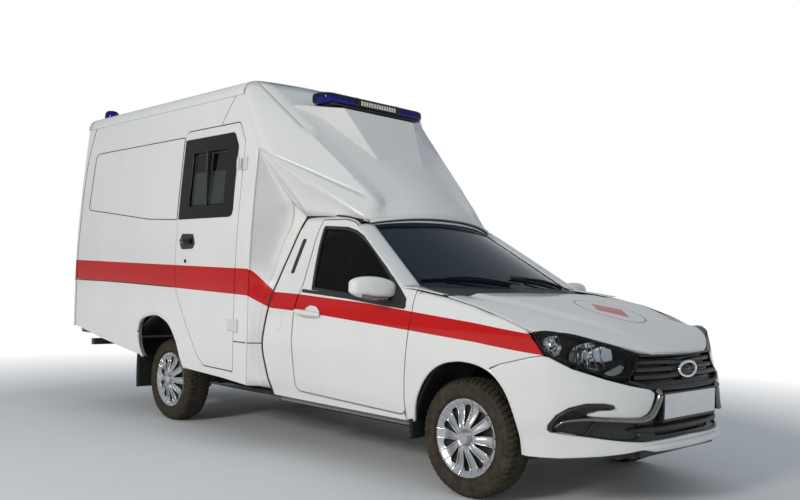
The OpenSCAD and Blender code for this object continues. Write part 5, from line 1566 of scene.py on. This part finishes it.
def tyre(name, centre, sg, body):
    """A block-tread tyre: the tread's ribs are cut by slanted grooves, and the shoulders by wide ones."""
    half = TREAD + [(-d, rr) for d, rr in TREAD[-2::-1]]
    side = [(-0.0685, 0.188, False), (-0.08, 0.196, False), (-0.088, 0.208, False), (-0.092, 0.222, False)]
    fine = []
    for (d0, r0), (d1, r1) in zip(half, half[1:]):
        for k in np.linspace(0, 1, 4)[:-1]:
            fine.append((d0 + (d1 - d0) * k, r0 + (r1 - r0) * k, True))
    fine.append((*half[-1], True))
    c = np.array(centre, float)
    rows = []
    for d, rr, tread in side + fine + [(-d, rr, False) for d, rr, _ in side[::-1]]:
        row = []
        for k in range(TREAD_STEPS):
            a = 2 * math.pi * k / TREAD_STEPS
            cut = 0.0
            if tread and rr > 0.27:
                u = a / (2 * math.pi) * BLOCKS
                ad = abs(d)
                slanted = u + 9 * ad * (1 if d > 0 else -1) + (0.5 if d > 0 else 0)
                if ad > SHOULDER_Y:
                    cut = SHOULDER_DEPTH * notch(slanted, 0.2, 0.04) * (1.0 if ad < 0.084 else 0.6)
                else:
                    ring = sum(max(0.0, 1 - abs(ad - g) / GROOVE_HALF) for g in GROOVES)
                    across = 0.75 * notch(u + 14 * d, 0.1, 0.05) if ad < CENTRE_Y else notch(slanted, 0.17, 0.05)
                    cut = TREAD_DEPTH * min(1.0, max(ring, across))
            r2 = rr - cut
            row.append(c + np.array((r2 * math.cos(a), sg * d, r2 * math.sin(a))))
        rows.append(row)
    loft(name, rows, M_TYRE, body, closed=True, hull=True, sharp=32)
    for j, (rr, dd) in enumerate(((0.205, 0.09), (0.252, 0.0915))):
        ring = [c + np.array((rr * math.cos(a), sg * dd, rr * math.sin(a))) for a in circle(72)]
        seam(f"{name}_rib_{j}", ring, 0.0016, M_TYRE, body, closed=True)


def cover(name, centre, sg, body):
    """A wheel cover: a dished disc with ten windows between paired spokes, and a round cap."""
    c = np.array(centre, float)

    def dish(u, v):
        r = np.hypot(u, v)
        a = np.arctan2(v, u)
        d = 0.081 - 0.022 * smoothstep(0.196, 0.15, r) + 0.026 * smoothstep(0.15, 0.05, r)
        d = d - 0.012 * smoothstep(0.05, 0.026, r)
        spoke = 0.5 + 0.5 * np.cos(10 * a)
        d = d + 0.007 * spoke * smoothstep(0.185, 0.12, r) * smoothstep(0.04, 0.07, r)
        return np.stack([c[0] + u, c[1] + sg * d, c[2] + v], -1)

    rim_loop = [(0.199 * math.cos(a), 0.199 * math.sin(a)) for a in circle(96)]
    windows = []
    for i in range(10):
        m = 2 * math.pi * (i + 0.5) / 10
        shape = ((0.064, -0.075), (0.098, -0.15), (0.142, -0.185), (0.162, -0.11), (0.166, 0.0), (0.162, 0.11),
                 (0.142, 0.185), (0.098, 0.15), (0.064, 0.075))
        windows.append(rounded([(r * math.cos(m + w), r * math.sin(m + w)) for r, w in shape], 0.007))
    panel(f"{name}_cover", dish, rim_loop, 0.01, 0.003, M_SILVER, None, body, holes=windows, out=-sg, grid=0.01,
          step=0.008)
    for i in range(20):
        m = 2 * math.pi * (i // 2 + 0.5) / 10
        leg = []
        for t in np.linspace(0, 1, 9):
            r, w = 0.052 + 0.143 * t, (1 if i % 2 else -1) * (0.085 + 0.105 * t ** 0.8)
            leg.append(on(dish, r * math.cos(m + w), r * math.sin(m + w)) + np.array((0, sg * 0.0024, 0)))
        tube(f"{name}_rib_{i}", leg, [0.0034] * 6 + [0.0042] * 3, M_RIB, body, 8, 1, (0, 1, 0))
    cap = [(0.066, 0.032), (0.096, 0.032), (0.101, 0.029), (0.102, 0.022), (0.1005, 0.02), (0.1005, 0.0)]
    revolve(f"{name}_cap", cap, c, (0, sg, 0), M_SILVER, body, 48)
    rim = [(0.04, 0.0), (0.04, 0.165), (0.052, 0.176), (0.07, 0.184), (0.074, 0.19), (0.0735, 0.194),
           (0.068, 0.193), (-0.07, 0.186), (-0.08, 0.187), (-0.08, 0.178), (-0.05, 0.17), (0.03, 0.16),
           (0.03, 0.0)]
    revolve(f"{name}_rim", rim, c, (0, sg, 0), M_STEEL, body, 72)


DISC = [(-0.052, 0.05), (-0.052, 0.12), (-0.04, 0.12), (-0.04, 0.05)]
DRUM = [(-0.06, 0.03), (-0.06, 0.105), (-0.02, 0.11), (-0.018, 0.0)]
for ax, x, track, brake in (("front", 0.0, 1.415, DISC), ("rear", REAR_AXLE, 1.437, DRUM)):
    for name, sg in SIDES:
        body = f"{ax}_wheel_{name}"
        centre = (x, sg * track / 2, TYRE_R)
        tyre(f"{ax}_tread_{name}", centre, sg, body)
        cover(f"{ax}_hub_{name}", centre, sg, body)
        revolve(f"{ax}_brake_{name}", brake, centre, (0, sg, 0), M_CAST, body, 48)

# ---------- under the body ----------
for name, sg in SIDES:
    flap_rows = [[(REAR_AXLE - 0.462 - 0.01 * math.sin(k * math.pi), sg * y, 0.195 + (0.52 - 0.195) * k)
                  for y in np.linspace(0.645, 0.828, 8)] for k in np.linspace(0, 1, 10)]
    loft(f"mud_flap_{name}", flap_rows, M_RUBBER, thick=0.006)
tank_mid, tank = np.array((0.595, 0.359)), []
for x, draw in ((-2.298, 0.06), (-2.28, 0.0), (-1.97, 0.0), (-1.952, 0.06)):
    loop = rect(0.432, 0.758, 0.22, 0.498, 0.05)
    tank.append([(x, *(p + (tank_mid - p) * draw)) for p in loop])
o = loft("tank_shell", tank, M_BLACK, closed=True, caps=True, hull=True, sharp=35)
bevel(o, 0.006, 2, 40)

# ---------- cabin ----------
def cushion(name, x, y, z, lean=0.0, pivot=(0, 0), mat=M_FABRIC):
    """A padded block with soft corners and a raised bolster at both sides."""
    c, s = math.cos(lean), math.sin(lean)
    rows = []
    for u in np.linspace(-1, 1, 15):
        row, e = [], 1 - abs(u) ** 5 * 0.55
        for a in circle(40):
            ca, sa = squarish(a, 0.35, 0.35)
            px = (x[0] + x[1]) / 2 + (x[1] - x[0]) / 2 * ca * (0.55 + 0.45 * e) - pivot[0]
            pz = (z[0] + z[1]) / 2 + (z[1] - z[0]) / 2 * sa * e + (0.01 * u * u if sa > 0 else 0) - pivot[1]
            row.append((pivot[0] + px * c - pz * s, (y[0] + y[1]) / 2 + (y[1] - y[0]) / 2 * u,
                        pivot[1] + px * s + pz * c))
        rows.append(row)
    loft(name, rows, mat, closed=True, caps=True, hull=True)


for name, sg in SIDES:
    y = sg * DRIVER_Y
    cushion(f"seat_base_{name}", (-1.3, -0.8), (y - 0.235, y + 0.235), (0.515, 0.63))
    cushion(f"seat_back_{name}", (-1.405, -1.29), (y - 0.225, y + 0.225), (0.56, 1.185), math.radians(13),
            (-1.3, 0.6))
    cushion(f"head_rest_{name}", (-1.512, -1.44), (y - 0.125, y + 0.125), (1.215, 1.355))
    for j in (-0.06, 0.06):
        tube(f"head_rest_post_{name}_{'a' if j < 0 else 'b'}", [(-1.47, y + j, 1.16), (-1.476, y + j, 1.24)], 0.006,
             M_CHROME, steps=10, up=(1, 0, 0))
    box(f"seat_box_{name}", (-1.295, -0.905), (y - 0.195, y + 0.195), (0.338, 0.515), M_INNER, width=0.02)

dash = []
for y in np.linspace(-0.735, 0.735, 40):
    k = math.exp(-((y - DRIVER_Y) / 0.16) ** 2)  # the hood over the dials
    dash.append([(-0.428, y, 0.983), (-0.56, y, 0.978 + 0.014 * k), (-0.68, y, 0.96 + 0.022 * k),
                 (-0.735, y, 0.93 + 0.016 * k), (-0.757, y, 0.895), (-0.745, y, 0.82), (-0.72, y, 0.76),
                 (-0.66, y, 0.7), (-0.56, y, 0.66), (-0.384, y, 0.642)])
loft("dash_skin", dash, M_INNER, flip=True, thick=0.006, sharp=60)
for j, y in enumerate((-0.6, -0.16, 0.12, 0.64)):
    revolve(f"air_vent_{j}", [(0, 0.036), (0.006, 0.036), (0.008, 0.031), (0.004, 0.029), (0.003, 0.0)],
            (-0.745, y, 0.88), (-1, 0, 0.12), M_GLOSSBLACK, steps=28)
box("centre_panel", (-0.768, -0.738), (-0.115, 0.075), (0.735, 0.86), M_GLOSSBLACK, width=0.008)
for j in range(3):
    revolve(f"heater_knob_{j}", [(0, 0.018), (0.01, 0.018), (0.012, 0.015), (0.012, 0.0)],
            (-0.766, -0.08 + 0.06 * j, 0.765), (-1, 0, 0), M_INNER, steps=24)
tube("gear_lever", catmull([(-0.9, 0.02, 0.5), (-0.905, 0.02, 0.6), (-0.93, 0.02, 0.7)], 6), [0.01] * 12 + [0.012],
     M_BLACK, up=(1, 0, 0))
revolve("gear_knob", [(0, 0.01), (0.008, 0.02), (0.026, 0.024), (0.044, 0.018), (0.05, 0.0)], (-0.928, 0.02, 0.692),
        (-0.2, 0, 1), M_BLACK, steps=24, sharp=60)
console_sec = rounded([(-0.075, 0.338), (0.115, 0.338), (0.095, 0.5), (-0.055, 0.5)], 0.03)
console = [[(x, y, z) for y, z in console_sec] for x in np.linspace(-1.25, -0.62, 6)]
loft("centre_console", console, M_INNER, closed=True, caps=True, hull=True, sharp=40)
# steering wheel
tilt = math.radians(116)
col = np.array((math.sin(tilt), 0, math.cos(tilt)))
cen = np.array((-0.835, DRIVER_Y, 0.96)) - col * 0.014
up2 = np.array((col[2], 0, -col[0]))
sidev = np.array((0, 1.0, 0))
ring = [cen + (sidev * math.cos(a) + up2 * math.sin(a)) * 0.175 for a in circle(64)]
tube("steering_rim", ring, 0.0135, M_INNER, "steering_wheel", 14, 1, tuple(col), True)
pad = [(0.012, 0.03), (0.01, 0.056), (-0.006, 0.064), (-0.016, 0.05), (-0.02, 0.0)]
revolve("steering_pad", pad, cen, col, M_INNER, "steering_wheel", 32, 50)
for j, a in enumerate((math.radians(8), math.radians(172), math.radians(270))):
    dirv = sidev * math.cos(a) + up2 * math.sin(a)
    spoke = [cen + dirv * 0.045, cen + dirv * 0.11 + col * 0.004, cen + dirv * 0.17]
    tube(f"steering_spoke_{j}", spoke, [0.016, 0.012, 0.01], M_INNER, "steering_wheel", 12, 0.55, tuple(col))
tube("inner_mirror", [(-1.01, -0.1, 1.345), (-1.012, 0.0, 1.347), (-1.01, 0.1, 1.345)], [0.024, 0.03, 0.024],
     M_BLACK, steps=16, up=(1, 0, 0))

# ---------- CAD nodes: replaced or given their material ----------
swap = {
    "hood_skin": ["hood"], "bumper_skin": ["front_bumper"], "grille_back": ["grille"],
    "headlight_lens_right": ["headlights"], "front_plate": ["number_plates"], "windshield_glass": ["windshield"],
    "side_door_skin": ["side_door"], "side_window_glass": ["side_door_glass"], "rear_frame_skin": ["rear_frame"],
    "roof_skin": ["body_roof"], "fairing_skin": ["roof_fairing"], "bar_centre_cover": ["light_bar"],
    "beacon_lens": ["rear_beacon"], "flap_lid": ["fuel_flap"], "tank_shell": ["fuel_tank"], "dash_skin": ["dashboard"],
    "steering_rim": ["steering_wheel"], "seat_base_right": ["seats"], "mud_flap_right": ["mudflaps"],
    "tail_lamp_right_0": ["tail_lights"], "inner_front_wall": ["body_front_wall"], "floor_pan": ["body_floor"],
}
for name, _ in SIDES:
    swap |= {f"door_skin_{name}": [f"cab_door_{name}"], f"door_glass_{name}": [f"cab_door_glass_{name}"],
             f"cab_side_skin_{name}": [f"cab_side_{name}"], f"fender_skin_{name}": [f"fender_{name}"],
             f"body_skin_{name}": [f"body_side_{name}"], f"rear_leaf_{name}": [f"rear_door_{name}"],
             f"front_tread_{name}": [f"front_tyre_{name}"], f"rear_tread_{name}": [f"rear_tyre_{name}"],
             f"front_hub_{name}_cover": [f"front_wheel_{name}"], f"rear_hub_{name}_cover": [f"rear_wheel_{name}"]}
for piece, nodes in swap.items():
    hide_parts(*nodes)
keep = {"chassis_frame": M_STEEL, "front_suspension": M_STEEL, "rear_axle": M_STEEL, "engine_block": M_CAST,
        "exhaust": M_EXHAUST, "cab_floor": M_FLOORM, "firewall": M_BLACK, "cab_roof": M_GREY, "cab_rear_wall": M_GREY,
        "steering_column": M_INNER, "knuckle_right": M_STEEL, "knuckle_left": M_STEEL}
for node, m in keep.items():
    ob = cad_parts[node]
    ob.data.materials.clear()
    ob.data.materials.append(m)
    ob.data.polygons.foreach_set("material_index", np.zeros(len(ob.data.polygons), np.int32))

# ---------- stage, light and camera ----------
me = bpy.data.meshes.new("floor")
me.from_pydata([(x, y, 0) for x, y in ((-60, -60), (60, -60), (60, 60), (-60, 60))], [], [(0, 1, 2, 3)])
floor = bpy.data.objects.new("floor", me)
bpy.context.scene.collection.objects.link(floor)
fm = Mat("floor_pale")
fm.color(fm.mix(fm.noise(3), (0.8, 0.8, 0.8), (0.84, 0.84, 0.84)))
fm.set(Roughness=0.9)
me.materials.append(fm.m)
away = fm.node("ShaderNodeVectorMath", operation="LENGTH")
fm.link(fm.co, away.inputs[0])
rays = fm.node("ShaderNodeLightPath")
seen = fm.math("MAXIMUM", fm.math("MAXIMUM", rays.outputs["Is Camera Ray"], rays.outputs["Is Glossy Ray"]),
               rays.outputs["Is Transmission Ray"])
fade = fm.math("MULTIPLY", fm.range(away.outputs["Value"], 3.2, 6.5, 0, 1), seen)
white = fm.node("ShaderNodeEmission")
white.inputs[0].default_value = (1, 1, 1, 1)
fm.surface(fade, fm.b, white)

world = bpy.data.worlds.new("studio")
bpy.context.scene.world = world
world.use_nodes = True
nt = world.node_tree
bg = nt.nodes["Background"]
# the sky's grey by height, and plain white where the camera sees it
tc = new_node(nt, "ShaderNodeTexCoord")
sx = new_node(nt, "ShaderNodeSeparateXYZ")
nt.links.new(tc.outputs["Generated"], sx.inputs[0])
mr = new_node(nt, "ShaderNodeMapRange")
mr.inputs[1].default_value, mr.inputs[2].default_value = -1, 1
nt.links.new(sx.outputs[2], mr.inputs[0])
ramp = new_node(nt, "ShaderNodeValToRGB")
ramp.color_ramp.elements[0].position, ramp.color_ramp.elements[0].color = 0.46, (0.18, 0.18, 0.175, 1)
ramp.color_ramp.elements[1].position, ramp.color_ramp.elements[1].color = 1.0, (0.36, 0.41, 0.46, 1)
for at, c in ((0.5, (0.26, 0.26, 0.255, 1)), (0.56, (0.46, 0.475, 0.48, 1)), (0.72, (0.4, 0.435, 0.475, 1))):
    el = ramp.color_ramp.elements.new(at)
    el.color = c
nt.links.new(mr.outputs[0], ramp.inputs[0])
lp = new_node(nt, "ShaderNodeLightPath")
mixw = new_node(nt, "ShaderNodeMix", data_type="RGBA")
nt.links.new(lp.outputs["Is Camera Ray"], mixw.inputs[0])
nt.links.new(ramp.outputs[0], mixw.inputs[6])
mixw.inputs[7].default_value = (1, 1, 1, 1)
nt.links.new(mixw.outputs[2], bg.inputs[0])
bg.inputs[1].default_value = 1.0

KEY_FROM, KEY_TO = Vector((2.2, -9.2, 4.3)), Vector((-0.4, 0.0, 1.0))
lamp = bpy.data.lights.new("key", "AREA")
lamp.shape, lamp.size, lamp.size_y = "RECTANGLE", 1.8, 1.6
lamp.energy, lamp.color = 340, (1.0, 0.97, 0.91)
key = bpy.data.objects.new("key", lamp)
bpy.context.scene.collection.objects.link(key)
key.location = KEY_FROM
key.rotation_euler = (KEY_TO - KEY_FROM).to_track_quat("-Z", "Y").to_euler()

cam_data = bpy.data.cameras.new("camera")
cam_data.lens, cam_data.sensor_width = 38.44, 36.0
cam_data.shift_x, cam_data.shift_y = -0.0074, 0.0078
cam = bpy.data.objects.new("camera", cam_data)
bpy.context.scene.collection.objects.link(cam)
YAW, PITCH, ROLL = math.radians(135.398), math.radians(1.627), math.radians(1.642)
fwd = Vector((math.cos(PITCH) * math.cos(YAW), math.cos(PITCH) * math.sin(YAW), math.sin(PITCH)))
right = fwd.cross(Vector((0, 0, 1))).normalized()
up = right.cross(fwd)
r_ax = right * math.cos(ROLL) + up * math.sin(ROLL)
u_ax = -right * math.sin(ROLL) + up * math.cos(ROLL)
rot = Matrix((r_ax, u_ax, -fwd)).transposed().to_4x4()
cam.matrix_world = Matrix.Translation((4.621, -4.053, 1.0832)) @ rot
bpy.context.scene.camera = cam
bpy.context.scene.view_settings.view_transform = "Standard"
